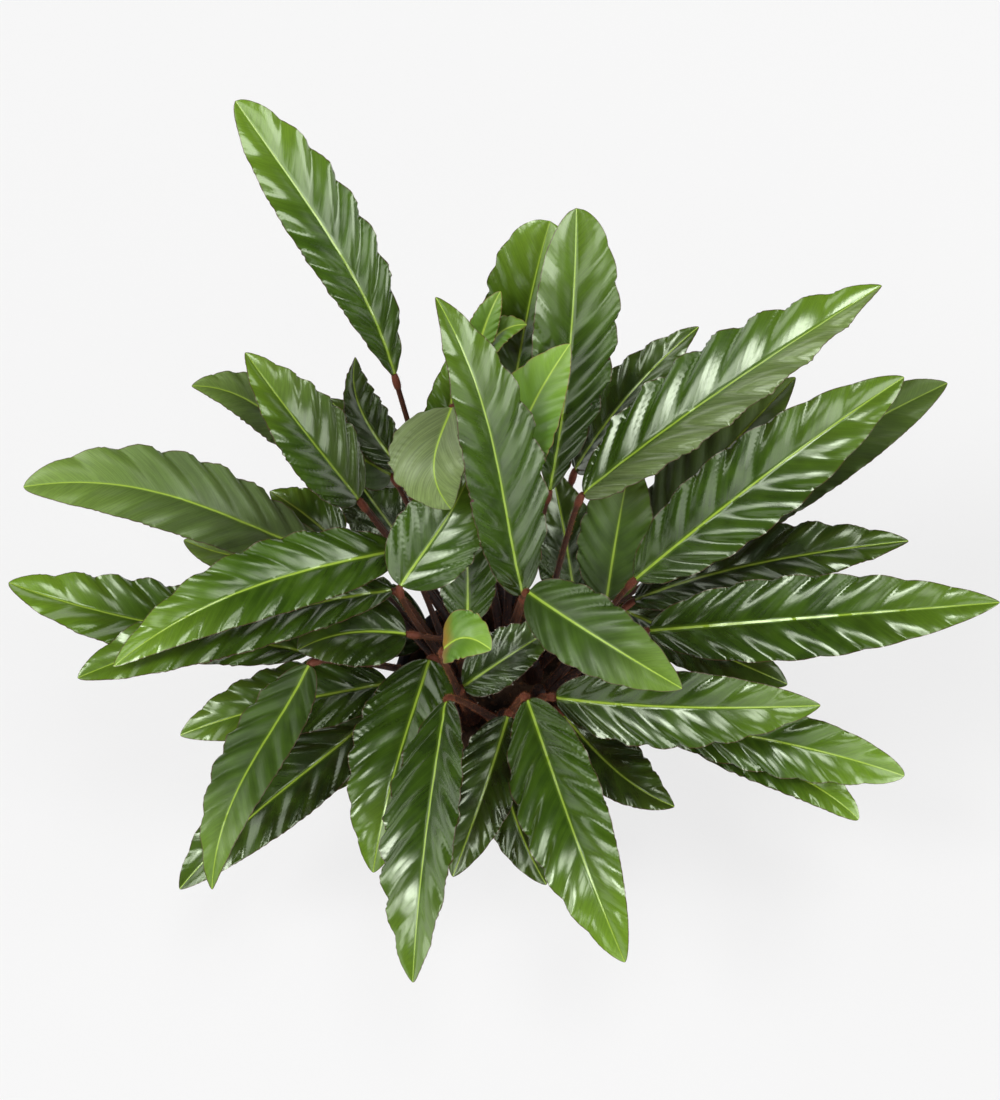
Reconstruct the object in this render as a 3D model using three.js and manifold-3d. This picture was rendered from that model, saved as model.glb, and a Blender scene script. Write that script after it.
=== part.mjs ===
// Potted furry feather calathea: a nursery pot, its soil, seven stem clumps and fifty-one waved leaves.
// Millimetres, +Z up. The origin is the centre of the pot's underside.
import * as THREE from 'three';
import { mergeVertices } from 'three/addons/utils/BufferGeometryUtils.js';
import Module from 'manifold-3d';

const wasm = await Module();
wasm.setup();

// Pot
const POT_HEIGHT = 150;
const POT_RIM_RADIUS = 85;
const POT_BASE_RADIUS = 60;
const POT_WALL = 2.2;
const POT_FLOOR = 3;
const POT_SIDES = 30;
const BASE_CHAMFER = 2.5;
const RIM_BAND = 17;
const RIM_STEP = 2.4;
const LIP_OVERHANG = 0.6;
const LIP_HEIGHT = 3;
const LIP_CHAMFER = 1.4;
const DRAIN_HOLES = 6;
const DRAIN_RADIUS = 5;
const DRAIN_CIRCLE = 42;
const DRAIN_SIDES = 8;

// Soil
const SOIL_TOP = 137;
const SOIL_RELIEF = 1.6;
const SOIL_RINGS = 4;
const SOIL_SECTORS = 12;
const SOIL_SEED = 4211;
const GAP = 0.3;

// Stem clumps: a root collar in the soil with its holes
const COLLAR_RADIUS = 9;
const COLLAR_TOP_RADIUS = 5;
const COLLAR_SUNK = 26;
const COLLAR_SHOULDER = 5;
const COLLAR_RISE = 24;
const COLLAR_SIDES = 7;
const HOLE_CLEARANCE = 0.5;
const HOLE_ABOVE_SOIL = 12;

// Leaf stalks: how far they lean and rise on leaving the collar, and the straight run below the blade
const STALK_SIDES = 5;
const STALK_START = 1;
const STALK_LEAN = 0.2;
const STALK_RISE = 0.26;
const STALK_STRAIGHT = 12;
const STALK_RADIUS = 2.1;
// Part of the way up the stalk, and its radius there
const STALK_RINGS = [
  [0, 4.4],
  [0.25, 3.4],
  [0.6, 2.2],
];
const CUSHION_RADIUS = 2.9;
const CUSHION_END_RADIUS = 2.3;
const CUSHION_LENGTH = 13;
const CUSHION_WIDEST = 0.6;

// Leaf blades
const BLADE_THICKNESS = 1;
const KEEL_DEPTH = 1.4;
const BLADE_FOOT_HALF_WIDTH = 2;
const BLADE_TIP_HALF_WIDTH = 0.5;
const OUTLINE_POWER = 1.4;
const FOLD = 0.22;
const WAVES = 8;
const WAVE_HEIGHT = 0.05;
// Blades less long than this many widths have lower waves
const FULL_WAVE_LENGTH = 4;
const SCALLOP = 0.035;
const SWAY_LEAST = 0.75;
const SWAY_SPREAD = 0.5;
const INNER_ROW = 0.5;
const LEAF_SEED_STEP = 7919;
const LEAF_SEED_START = 13;

const GREEN = new THREE.Color('#2f5b22');
const YOUNG_GREEN = new THREE.Color('#6f9a2c');
const STEM_BROWN = new THREE.Color('#5b2a1c');
const SOIL_BROWN = new THREE.Color('#2b211a');
const POT_GREY = new THREE.Color('#25272a');

// Where each stem clump stands, round the pot's axis
const CLUMPS = {
  rear_left: [-20, 26],
  rear: [4, 31],
  rear_right: [26, 16],
  right: [31, -9],
  front: [3, -31],
  front_left: [-24, -21],
  left: [-32, 4],
};

// Leaf number, clump, foot of the blade x y z, heading and pitch of its chord in degrees, chord length,
// width, arch upwards, bow to its right, roll in degrees, lateness of the arch, where it is widest
const LEAVES = [
  ['01', 'rear_left', [-80, 158, 365], 135.5, 52.5, 248, 57, 9, 6, 5, -0.5, 0.57],
  ['02', 'rear_left', [-146, 171, 225], 166, 32, 117, 45, 7, 7, 2, 0.7, 0.43],
  ['03', 'rear_left', [-109, 94, 285], 141, 46, 150, 61, 12, -8, 8, 0.5, 0.43],
  ['04', 'rear_left', [-81, 126, 160], 135, 36, 84, 60, 7, -2, 0, 0.3, 0.43],
  ['05', 'rear_left', [-80, 133, 270], 125, 60, 104, 33, -8, -8, 8, 0.3, 0.39],
  ['06', 'rear_left', [-78, 146, 224], 147, 44, 93, 43, 7, -4, 0, 0.3, 0.43],
  ['07', 'rear_left', [-86, 129, 262], 158, 34, 71, 45, 7, -6, 0, 0, 0.43],
  ['08', 'rear', [-36, 118, 382], -90, -20, 76, 70, 16, 4, 32, 0.5, 0.43],
  ['09', 'left', [-75, 16, 292], 54.5, 28, 105, 63, 8, 2, 28, 0.8, 0.43],
  ['10', 'rear', [17, 16, 279], 117, 58, 260, 64, 14, 3, 14, 0.8, 0.43],
  ['11', 'rear_left', [-42, 103, 295], 83, 58, 112, 39, 8, 2, -4, 0.6, 0.43],
  ['12', 'rear', [-17, 178, 366], 60, 46, 50, 20, 5, 0, 0, 0.3, 0.43],
  ['13', 'rear', [-11, 179, 361], 20, 34, 40, 22, 7, -3, 0, 0.3, 0.43],
  ['14', 'rear', [6, 161, 285], 70, 59, 178, 64, 7, 0, -8, 0.6, 0.66],
  ['15', 'rear', [38, 95, 299], 82, 58, 233, 64, 8, 2, 26, 0, 0.62],
  ['16', 'rear', [11, 87, 329], 55, 55, 122, 52, 12, -5, 0, -0.2, 0.43],
  ['17', 'rear_right', [59, 132, 265], 31, 49, 161, 45, 19, 3, 0, 0.2, 0.43],
  ['19', 'rear_right', [63, 77, 325], 22, 34, 275, 76, 11, 4, -14, -0.2, 0.43],
  ['20', 'rear_right', [110, 81, 235], 37, 37, 181, 52, 11, 2, 6, 0.1, 0.43],
  ['21', 'right', [104, 31, 275], 25, 35, 257, 64, 24, -3, 23, 0.2, 0.47],
  ['22', 'rear_right', [159, 97, 205], 22, 32, 235, 67, 20, -5, 8, -0.2, 0.45],
  ['23', 'right', [106, 43, 215], 4, 19, 218, 54, 20, 2, 0, -0.2, 0.43],
  ['24', 'right', [115, -1, 250], -4, 18, 266, 60, 11, 1, 22, -0.2, 0.43],
  ['25', 'rear_right', [90, 60, 172], -28, 2, 154, 52, 12, 6, 0, 0.9, 0.47],
  ['26', 'rear', [22, 8, 296], -37, 4, 140, 54, 19, 1, 24, 0, 0.43],
  ['27', 'right', [43, -46, 225], -8, 13, 203, 57, 21, -1, 40, -0.1, 0.43],
  ['28', 'right', [109, -47, 190], -15, 3, 207, 48, 22, -9, 35, 0.3, 0.52],
  ['29', 'right', [147, -65, 183], -25, -4, 142, 36, 16, -4, 0, 0.4, 0.52],
  ['30', 'front', [51, -29, 154], -41, -4, 113, 50, 4, 9, 1, 0.3, 0.41],
  ['31', 'front', [21, -50, 230], -71, -4, 217, 65, 23, -5, 26, 0.6, 0.45],
  ['32', 'front', [0, -61, 160], -71, -11, 112, 44, 7, 7, 0, 0, 0.43],
  ['33', 'front', [6, -44, 185], -109, -11, 132, 48, 12, -3, 0, 0, 0.43],
  ['34', 'front', [-41, -57, 242], -96, -6, 217, 68, 24, -17, 37, 0.4, 0.48],
  ['35', 'front_left', [-55, -4, 204], -104, -9, 173, 70, 22, -2, 7, 0.6, 0.43],
  ['36', 'left', [-145, -33, 255], -112, -10, 184, 46, 23, 2, 8, 0.9, 0.41],
  ['37', 'front_left', [-88, -15, 185], -164, 1, 166, 56, 16, -1, -6, 0.4, 0.43],
  ['38', 'front_left', [-99, -31, 160], -139, -11, 203, 60, 16, -1, -1, 0.9, 0.43],
  ['40', 'front_left', [-42, -34, 285], -12, 22, 39, 42, 12, -3, -1, 0.3, 0.43],
  ['41', 'front_left', [-99, -26, 155], -121, -18, 71, 28, 2, -4, 0, 0.3, 0.43],
  ['42', 'left', [-131, 60, 255], 179, 25, 245, 64, 26, 6, -4, 0.7, 0.52],
  ['43', 'left', [-126, 85, 228], 152, 30, 70, 43, 8, -1, 0, 0.3, 0.39],
  ['44', 'left', [-133, 69, 225], 176, 13, 116, 38, 6, -8, -6, 0.6, 0.47],
  ['45', 'left', [-78, 47, 290], -152, 6, 234, 54, 21, 11, -14, 0.3, 0.41],
  ['46', 'left', [-83, 24, 268], -159, 7, 247, 56, 18, 0, 0, 0, 0.5],
  ['47', 'left', [-148, -10, 230], 175, 20, 234, 60, 10, -11, 3, 0.8, 0.51],
  ['48', 'left', [-60, 34, 160], 160, 6, 112, 64, 4, 0, 0, 0.3, 0.43],
  ['49', 'rear', [-72, -2, 246], -168, 5, 84, 64, 8, 4, 0, 0.2, 0.43],
  ['51', 'left', [-25, 9, 245], 94, 56, 93, 40, 3, 2, 0, 0.4, 0.43],
  ['53', 'front_left', [-28, -25, 201], 22, 31, 90, 44, 6, 2, 0, 0.3, 0.43],
  ['54', 'rear_right', [83, 38, 225], 77, 52, 123, 54, 12, 0, 0, 0.2, 0.47],
  ['55', 'rear_right', [60, 55, 185], 106, 52, 118, 50, 7, 0, 0, 0.3, 0.43],
];
const YOUNG_LEAVES = ['12', '13', '16', '40'];

// A repeatable run of numbers from 0 to 1
function seededRandom(seed) {
  let state = seed;
  return () => {
    state = (state * 16807) % 2147483647;
    return state / 2147483647;
  };
}

function geometryFrom(positions, triangles) {
  const geometry = new THREE.BufferGeometry();
  const numbers = positions.flatMap((place) => place.toArray());
  geometry.setAttribute('position', new THREE.Float32BufferAttribute(numbers, 3));
  geometry.setIndex(triangles.flat());
  geometry.computeVertexNormals();
  return geometry;
}

function solidFrom(geometry) {
  const bare = geometry.clone();
  bare.deleteAttribute('normal');
  bare.deleteAttribute('uv');
  const merged = mergeVertices(bare, 1e-4);
  const vertProperties = new Float32Array(merged.attributes.position.array);
  const triVerts = new Uint32Array(merged.index.array);
  return new wasm.Manifold(new wasm.Mesh({ numProp: 3, vertProperties, triVerts }));
}

function geometryOf(solid) {
  const mesh = solid.getMesh();
  const geometry = new THREE.BufferGeometry();
  geometry.setAttribute('position', new THREE.Float32BufferAttribute(mesh.vertProperties, 3));
  geometry.setIndex(Array.from(mesh.triVerts));
  geometry.computeVertexNormals();
  return geometry;
}

// A profile of radius and height turned about the vertical axis
function turned(outline, sides) {
  const profile = outline.map(([radius, height]) => new THREE.Vector2(radius, height));
  return new THREE.LatheGeometry(profile, sides).rotateX(Math.PI / 2);
}

function named(name, geometry, color, roughness) {
  const mesh = new THREE.Mesh(geometry, new THREE.MeshStandardMaterial({ color, roughness, metalness: 0 }));
  mesh.name = name;
  return mesh;
}

function readLeaf(row) {
  const [number, clump, foot, heading, pitch, length, width, arch, bow, roll, late, widest] = row;
  return {
    number,
    clump,
    foot: new THREE.Vector3(...foot),
    heading: THREE.MathUtils.degToRad(heading),
    pitch: THREE.MathUtils.degToRad(pitch),
    length,
    width,
    arch,
    bow,
    roll: THREE.MathUtils.degToRad(roll),
    late,
    widest,
  };
}

// The blade's chord, with the directions that its face and its right side look in
function bladeAxes(leaf) {
  const level = Math.cos(leaf.pitch);
  const chord = new THREE.Vector3(
    level * Math.cos(leaf.heading),
    level * Math.sin(leaf.heading),
    Math.sin(leaf.pitch),
  );
  const face = new THREE.Vector3(0, 0, 1).addScaledVector(chord, -chord.z).normalize();
  face.applyAxisAngle(chord, leaf.roll);
  const side = new THREE.Vector3().crossVectors(chord, face);
  return { chord, face, side };
}

// A point of the midrib with the directions along it, to its right and out of its face
function midribFrame(leaf, t) {
  const { chord, face, side } = bladeAxes(leaf);
  const bend = face.clone().multiplyScalar(leaf.arch).addScaledVector(side, leaf.bow);
  const skew = 1 + leaf.late * (2 * t - 1);
  const lift = 4 * t * (1 - t) * skew;
  const slope = (4 - 8 * t) * skew + 8 * t * (1 - t) * leaf.late;
  const point = leaf.foot.clone().addScaledVector(chord, leaf.length * t).addScaledVector(bend, lift);
  const along = chord.clone().multiplyScalar(leaf.length).addScaledVector(bend, slope).normalize();
  const right = new THREE.Vector3().crossVectors(along, face).normalize();
  const out = new THREE.Vector3().crossVectors(right, along);
  return { point, along, right, out };
}

function halfWidth(leaf, t) {
  const rise = OUTLINE_POWER * leaf.widest;
  const fall = OUTLINE_POWER * (1 - leaf.widest);
  const shape = (x) => x ** rise * (1 - x) ** fall;
  const stub = BLADE_FOOT_HALF_WIDTH * (1 - t) + BLADE_TIP_HALF_WIDTH * t;
  return (leaf.width / 2) * (shape(t) / shape(leaf.widest)) + stub;
}

// How far the margin's waves rise and fall on this leaf
function waveHeight(leaf) {
  return leaf.width * WAVE_HEIGHT * Math.min(1, leaf.length / (FULL_WAVE_LENGTH * leaf.width));
}

// One row of blade points: across runs from -1 at the left margin to 1 at the right one
function bladeRow(leaf, across, steps, sways) {
  const top = [];
  const bottom = [];
  for (let i = 0; i <= steps; i += 1) {
    const t = i / steps;
    const { point, right, out } = midribFrame(leaf, t);
    const half = halfWidth(leaf, t);
    const reach = half * across * (1 + SCALLOP * sways[i]);
    const lift = half * Math.abs(across) * FOLD + waveHeight(leaf) * sways[i];
    const keel = across === 0 ? KEEL_DEPTH * (1 - t) : 0;
    const place = point.clone().addScaledVector(right, reach).addScaledVector(out, lift);
    top.push(place);
    bottom.push(place.clone().addScaledVector(out, -BLADE_THICKNESS - keel));
  }
  return { top, bottom };
}

// The swing of a margin to either side of its smooth line, wave after wave
function marginSways(steps, random) {
  const sways = [];
  for (let i = 0; i <= steps; i += 1) {
    const taper = Math.sqrt(Math.abs(Math.sin((Math.PI * i) / steps)));
    const turn = i % 2 ? 1 : -1;
    sways.push(turn * taper * (SWAY_LEAST + SWAY_SPREAD * random()));
  }
  return sways;
}

// The margins have two points to each wave and the rows inside them one
function bladeGeometry(leaf) {
  const random = seededRandom(Number(leaf.number) * LEAF_SEED_STEP + LEAF_SEED_START);
  const rimSteps = 2 * WAVES;
  const level = new Array(WAVES + 1).fill(0);
  const leftSways = marginSways(rimSteps, random);
  const rightSways = marginSways(rimSteps, random);
  const rows = [
    bladeRow(leaf, -1, rimSteps, leftSways),
    bladeRow(leaf, -INNER_ROW, WAVES, level),
    bladeRow(leaf, 0, WAVES, level),
    bladeRow(leaf, INNER_ROW, WAVES, level),
    bladeRow(leaf, 1, rimSteps, rightSways),
  ];
  const positions = rows.flatMap((row) => row.top);
  const under = positions.length;
  positions.push(...rows.flatMap((row) => row.bottom));
  const starts = [];
  let count = 0;
  for (const row of rows) {
    starts.push(count);
    count += row.top.length;
  }
  const triangles = [];
  const bothFaces = (a, b, c) => triangles.push([a, b, c], [a + under, c + under, b + under]);
  const wall = (a, b) => triangles.push([a, b, b + under], [a, b + under, a + under]);
  const [leftRim, leftRow, midrib, rightRow, rightRim] = starts;
  for (let k = 0; k < WAVES; k += 1) {
    const m = 2 * k;
    bothFaces(leftRim + m, leftRow + k, leftRim + m + 1);
    bothFaces(leftRim + m + 1, leftRow + k, leftRow + k + 1);
    bothFaces(leftRim + m + 1, leftRow + k + 1, leftRim + m + 2);
    bothFaces(leftRow + k, midrib + k, midrib + k + 1);
    bothFaces(leftRow + k, midrib + k + 1, leftRow + k + 1);
    bothFaces(midrib + k, rightRow + k, midrib + k + 1);
    bothFaces(midrib + k + 1, rightRow + k, rightRow + k + 1);
    bothFaces(rightRow + k, rightRim + m, rightRim + m + 1);
    bothFaces(rightRow + k, rightRim + m + 1, rightRow + k + 1);
    bothFaces(rightRow + k + 1, rightRim + m + 1, rightRim + m + 2);
  }
  for (let i = 0; i < rimSteps; i += 1) {
    wall(leftRim + i, leftRim + i + 1);
    wall(rightRim + i + 1, rightRim + i);
  }
  for (let j = 0; j < starts.length - 1; j += 1) {
    const lastLeft = starts[j] + rows[j].top.length - 1;
    const lastRight = starts[j + 1] + rows[j + 1].top.length - 1;
    wall(starts[j + 1], starts[j]);
    wall(lastLeft, lastRight);
  }
  return geometryFrom(positions, triangles);
}

// A closed round stem along a curve, with its own radius at each ring
function stemGeometry(curve, rings, sides) {
  const positions = [];
  const triangles = [];
  const normal = new THREE.Vector3(1, 0, 0);
  for (const [t, radius] of rings) {
    const centre = curve.getPointAt(t);
    const tangent = curve.getTangentAt(t);
    normal.addScaledVector(tangent, -normal.dot(tangent)).normalize();
    const other = new THREE.Vector3().crossVectors(tangent, normal);
    for (let s = 0; s < sides; s += 1) {
      const angle = (2 * Math.PI * s) / sides;
      const place = centre.clone().addScaledVector(normal, radius * Math.cos(angle));
      positions.push(place.addScaledVector(other, radius * Math.sin(angle)));
    }
  }
  for (let r = 0; r < rings.length - 1; r += 1) {
    for (let s = 0; s < sides; s += 1) {
      const a = r * sides + s;
      const b = r * sides + ((s + 1) % sides);
      triangles.push([a, b, b + sides], [a, b + sides, a + sides]);
    }
  }
  const last = (rings.length - 1) * sides;
  for (let s = 1; s < sides - 1; s += 1) {
    triangles.push([0, s + 1, s], [last, last + s, last + s + 1]);
  }
  return geometryFrom(positions, triangles);
}

// A stalk rises from its collar, turns outwards and ends in a cushion just short of its blade
function stalkGeometry(leaf) {
  const [x, y] = CLUMPS[leaf.clump];
  const start = new THREE.Vector3(x, y, SOIL_TOP + STALK_START);
  const { point, along } = midribFrame(leaf, 0);
  const end = point.clone().addScaledVector(along, -GAP);
  const span = start.distanceTo(end);
  const outward = end.clone().sub(start).setZ(0).multiplyScalar(STALK_LEAN);
  const first = start.clone().add(outward).setZ(start.z + span * STALK_RISE);
  const last = end.clone().addScaledVector(along, -STALK_STRAIGHT);
  const curve = new THREE.CubicBezierCurve3(start, first, last, end);
  const cushion = CUSHION_LENGTH / curve.getLength();
  const rings = STALK_RINGS.filter(([t]) => t < 1 - 1.2 * cushion);
  rings.push([1 - cushion, STALK_RADIUS]);
  rings.push([1 - cushion * CUSHION_WIDEST, CUSHION_RADIUS]);
  rings.push([1, CUSHION_END_RADIUS]);
  return stemGeometry(curve, rings, STALK_SIDES);
}

function collarGeometry([x, y]) {
  const outline = [
    [0, SOIL_TOP - COLLAR_SUNK],
    [COLLAR_RADIUS, SOIL_TOP - COLLAR_SUNK],
    [COLLAR_RADIUS, SOIL_TOP + COLLAR_SHOULDER],
    [COLLAR_TOP_RADIUS, SOIL_TOP + COLLAR_RISE],
    [0, SOIL_TOP + COLLAR_RISE],
  ];
  return turned(outline, COLLAR_SIDES).translate(x, y, 0);
}

function clumpGeometry(name, leaves) {
  let clump = solidFrom(collarGeometry(CLUMPS[name]));
  for (const leaf of leaves.filter((each) => each.clump === name)) {
    clump = clump.add(solidFrom(stalkGeometry(leaf)));
  }
  return geometryOf(clump);
}

// The pot's inner face widens up to the rim band and is straight inside it
function potInnerRadius(height) {
  const bandFoot = POT_HEIGHT - RIM_BAND;
  const widening = (POT_RIM_RADIUS - RIM_STEP - POT_BASE_RADIUS) / bandFoot;
  return POT_BASE_RADIUS + widening * Math.min(height, bandFoot) - POT_WALL;
}

function potGeometry() {
  const bandFoot = POT_HEIGHT - RIM_BAND;
  const bandRadius = POT_RIM_RADIUS - LIP_OVERHANG;
  const outline = [
    [0, 0],
    [POT_BASE_RADIUS - BASE_CHAMFER, 0],
    [POT_BASE_RADIUS, BASE_CHAMFER],
    [POT_RIM_RADIUS - RIM_STEP, bandFoot - RIM_STEP],
    [bandRadius, bandFoot],
    [bandRadius, POT_HEIGHT - LIP_HEIGHT],
    [POT_RIM_RADIUS, POT_HEIGHT - LIP_CHAMFER],
    [bandRadius, POT_HEIGHT],
    [potInnerRadius(POT_HEIGHT) + LIP_CHAMFER, POT_HEIGHT],
    [potInnerRadius(POT_HEIGHT), POT_HEIGHT - LIP_CHAMFER],
    [potInnerRadius(bandFoot), bandFoot],
    [potInnerRadius(POT_FLOOR), POT_FLOOR],
    [0, POT_FLOOR],
  ];
  let pot = solidFrom(turned(outline, POT_SIDES));
  for (let i = 0; i < DRAIN_HOLES; i += 1) {
    const angle = (2 * Math.PI * i) / DRAIN_HOLES;
    const bore = new THREE.CylinderGeometry(DRAIN_RADIUS, DRAIN_RADIUS, 4 * POT_FLOOR, DRAIN_SIDES);
    bore.rotateX(Math.PI / 2);
    bore.translate(DRAIN_CIRCLE * Math.cos(angle), DRAIN_CIRCLE * Math.sin(angle), 0);
    pot = pot.subtract(solidFrom(bore));
  }
  return geometryOf(pot);
}

// The soil keeps off the flat sides of the pot's inner face
function soilRadius(height) {
  return potInnerRadius(height) * Math.cos(Math.PI / POT_SIDES) - GAP;
}

// Rings of points on the soil's face, every other ring turned by half a step
function soilBody() {
  const random = seededRandom(SOIL_SEED);
  const bandFoot = POT_HEIGHT - RIM_BAND;
  const floor = POT_FLOOR + GAP;
  const step = (2 * Math.PI) / SOIL_SECTORS;
  const positions = [new THREE.Vector3(0, 0, SOIL_TOP)];
  const addPoint = (angle, radius, height) => {
    positions.push(new THREE.Vector3(radius * Math.cos(angle), radius * Math.sin(angle), height));
  };
  for (let r = 1; r <= SOIL_RINGS; r += 1) {
    for (let s = 0; s < SOIL_SECTORS; s += 1) {
      const relief = r < SOIL_RINGS ? SOIL_RELIEF * (random() * 2 - 1) : 0;
      const radius = (soilRadius(SOIL_TOP) * r) / SOIL_RINGS;
      addPoint(step * (s + 0.5 * (r % 2)), radius, SOIL_TOP - SOIL_RELIEF + relief);
    }
  }
  for (const height of [bandFoot, floor]) {
    for (let s = 0; s < SOIL_SECTORS; s += 1) {
      addPoint(step * (s + 0.5 * (SOIL_RINGS % 2)), soilRadius(height), height);
    }
  }
  const centre = positions.length;
  positions.push(new THREE.Vector3(0, 0, floor));
  const triangles = [];
  const rim = 1 + (SOIL_RINGS - 1) * SOIL_SECTORS;
  for (let s = 0; s < SOIL_SECTORS; s += 1) {
    const next = (s + 1) % SOIL_SECTORS;
    triangles.push([0, 1 + s, 1 + next]);
    for (let r = 0; r < SOIL_RINGS - 1; r += 1) {
      const a = 1 + r * SOIL_SECTORS;
      const b = a + SOIL_SECTORS;
      if (r % 2) {
        triangles.push([a + s, b + s, b + next], [a + s, b + next, a + next]);
      } else {
        triangles.push([a + s, b + s, a + next], [a + next, b + s, b + next]);
      }
    }
    for (const ring of [rim, rim + SOIL_SECTORS]) {
      const lower = ring + SOIL_SECTORS;
      triangles.push([ring + s, lower + s, lower + next], [ring + s, lower + next, ring + next]);
    }
    triangles.push([centre, centre - SOIL_SECTORS + next, centre - SOIL_SECTORS + s]);
  }
  return geometryFrom(positions, triangles);
}

// The soil fills the pot, uneven on top, with a plain round hole for each clump
function soilGeometry() {
  let soil = solidFrom(soilBody());
  const holeRadius = COLLAR_RADIUS + HOLE_CLEARANCE;
  const holeFoot = SOIL_TOP - COLLAR_SUNK - GAP;
  const holeTop = SOIL_TOP + HOLE_ABOVE_SOIL;
  for (const [x, y] of Object.values(CLUMPS)) {
    const outline = [[0, holeFoot], [holeRadius, holeFoot], [holeRadius, holeTop], [0, holeTop]];
    soil = soil.subtract(solidFrom(turned(outline, COLLAR_SIDES).translate(x, y, 0)));
  }
  return geometryOf(soil);
}

const leaves = LEAVES.map(readLeaf);
const plant = new THREE.Group();
plant.add(named('pot', potGeometry(), POT_GREY, 0.55));
plant.add(named('soil', soilGeometry(), SOIL_BROWN, 1));
for (const name of Object.keys(CLUMPS)) {
  plant.add(named(`stems_${name}`, clumpGeometry(name, leaves), STEM_BROWN, 0.8));
}
for (const leaf of leaves) {
  const color = YOUNG_LEAVES.includes(leaf.number) ? YOUNG_GREEN : GREEN;
  plant.add(named(`leaf_${leaf.number}`, bladeGeometry(leaf), color, 0.35));
}

export default plant;
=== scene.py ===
"""Potted furry feather calathea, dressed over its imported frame.

Every piece is in metres in the frame's own axes. The leaf list repeats the one of the solids, so each fine
blade lies where its solid does.
"""

from __future__ import annotations

import logging
import math
from dataclasses import dataclass, field, replace
from enum import Enum
from typing import Sequence

import bpy
import numpy as np
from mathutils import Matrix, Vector


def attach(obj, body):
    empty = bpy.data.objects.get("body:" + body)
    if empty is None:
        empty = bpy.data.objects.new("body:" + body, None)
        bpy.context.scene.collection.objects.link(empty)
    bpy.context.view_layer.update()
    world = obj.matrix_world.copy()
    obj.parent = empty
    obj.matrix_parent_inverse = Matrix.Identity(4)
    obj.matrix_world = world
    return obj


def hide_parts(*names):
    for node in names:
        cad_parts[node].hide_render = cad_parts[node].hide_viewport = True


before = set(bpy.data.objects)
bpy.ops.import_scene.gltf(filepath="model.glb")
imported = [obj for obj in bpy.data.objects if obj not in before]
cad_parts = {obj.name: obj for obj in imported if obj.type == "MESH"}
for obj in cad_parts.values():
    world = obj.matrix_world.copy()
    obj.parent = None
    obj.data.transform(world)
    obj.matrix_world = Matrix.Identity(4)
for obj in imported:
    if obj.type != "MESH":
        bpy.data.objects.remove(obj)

LOG = logging.getLogger("calathea")
MM = 0.001
ROOT = "root"

Colour = tuple[float, float, float, float]
Array = np.ndarray
WHITE: Colour = (1.0, 1.0, 1.0, 1.0)


def srgb(code: str) -> Colour:
    """Turns a screen colour into a linear one.

    Args:
        code: six hexadecimal digits after a hash sign.

    Returns:
        Red, green, blue and a full alpha, from 0 to 1.
    """
    parts = [int(code[i : i + 2], 16) / 255 for i in (1, 3, 5)]
    linear = [p / 12.92 if p <= 0.04045 else ((p + 0.055) / 1.055) ** 2.4 for p in parts]
    return (linear[0], linear[1], linear[2], 1.0)


class SeededRun:
    """A repeatable run of numbers from 0 to 1, the same as the solids use."""

    factor = 16807
    span = 2147483647

    def __init__(self, seed: int) -> None:
        """Starts the run at a whole number above 0."""
        self.state = seed

    def draw(self) -> float:
        """The next number of the run."""
        self.state = (self.state * self.factor) % self.span
        return self.state / self.span


# ---------------------------------------------------------------------------
# Shader and geometry trees
# ---------------------------------------------------------------------------


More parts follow.
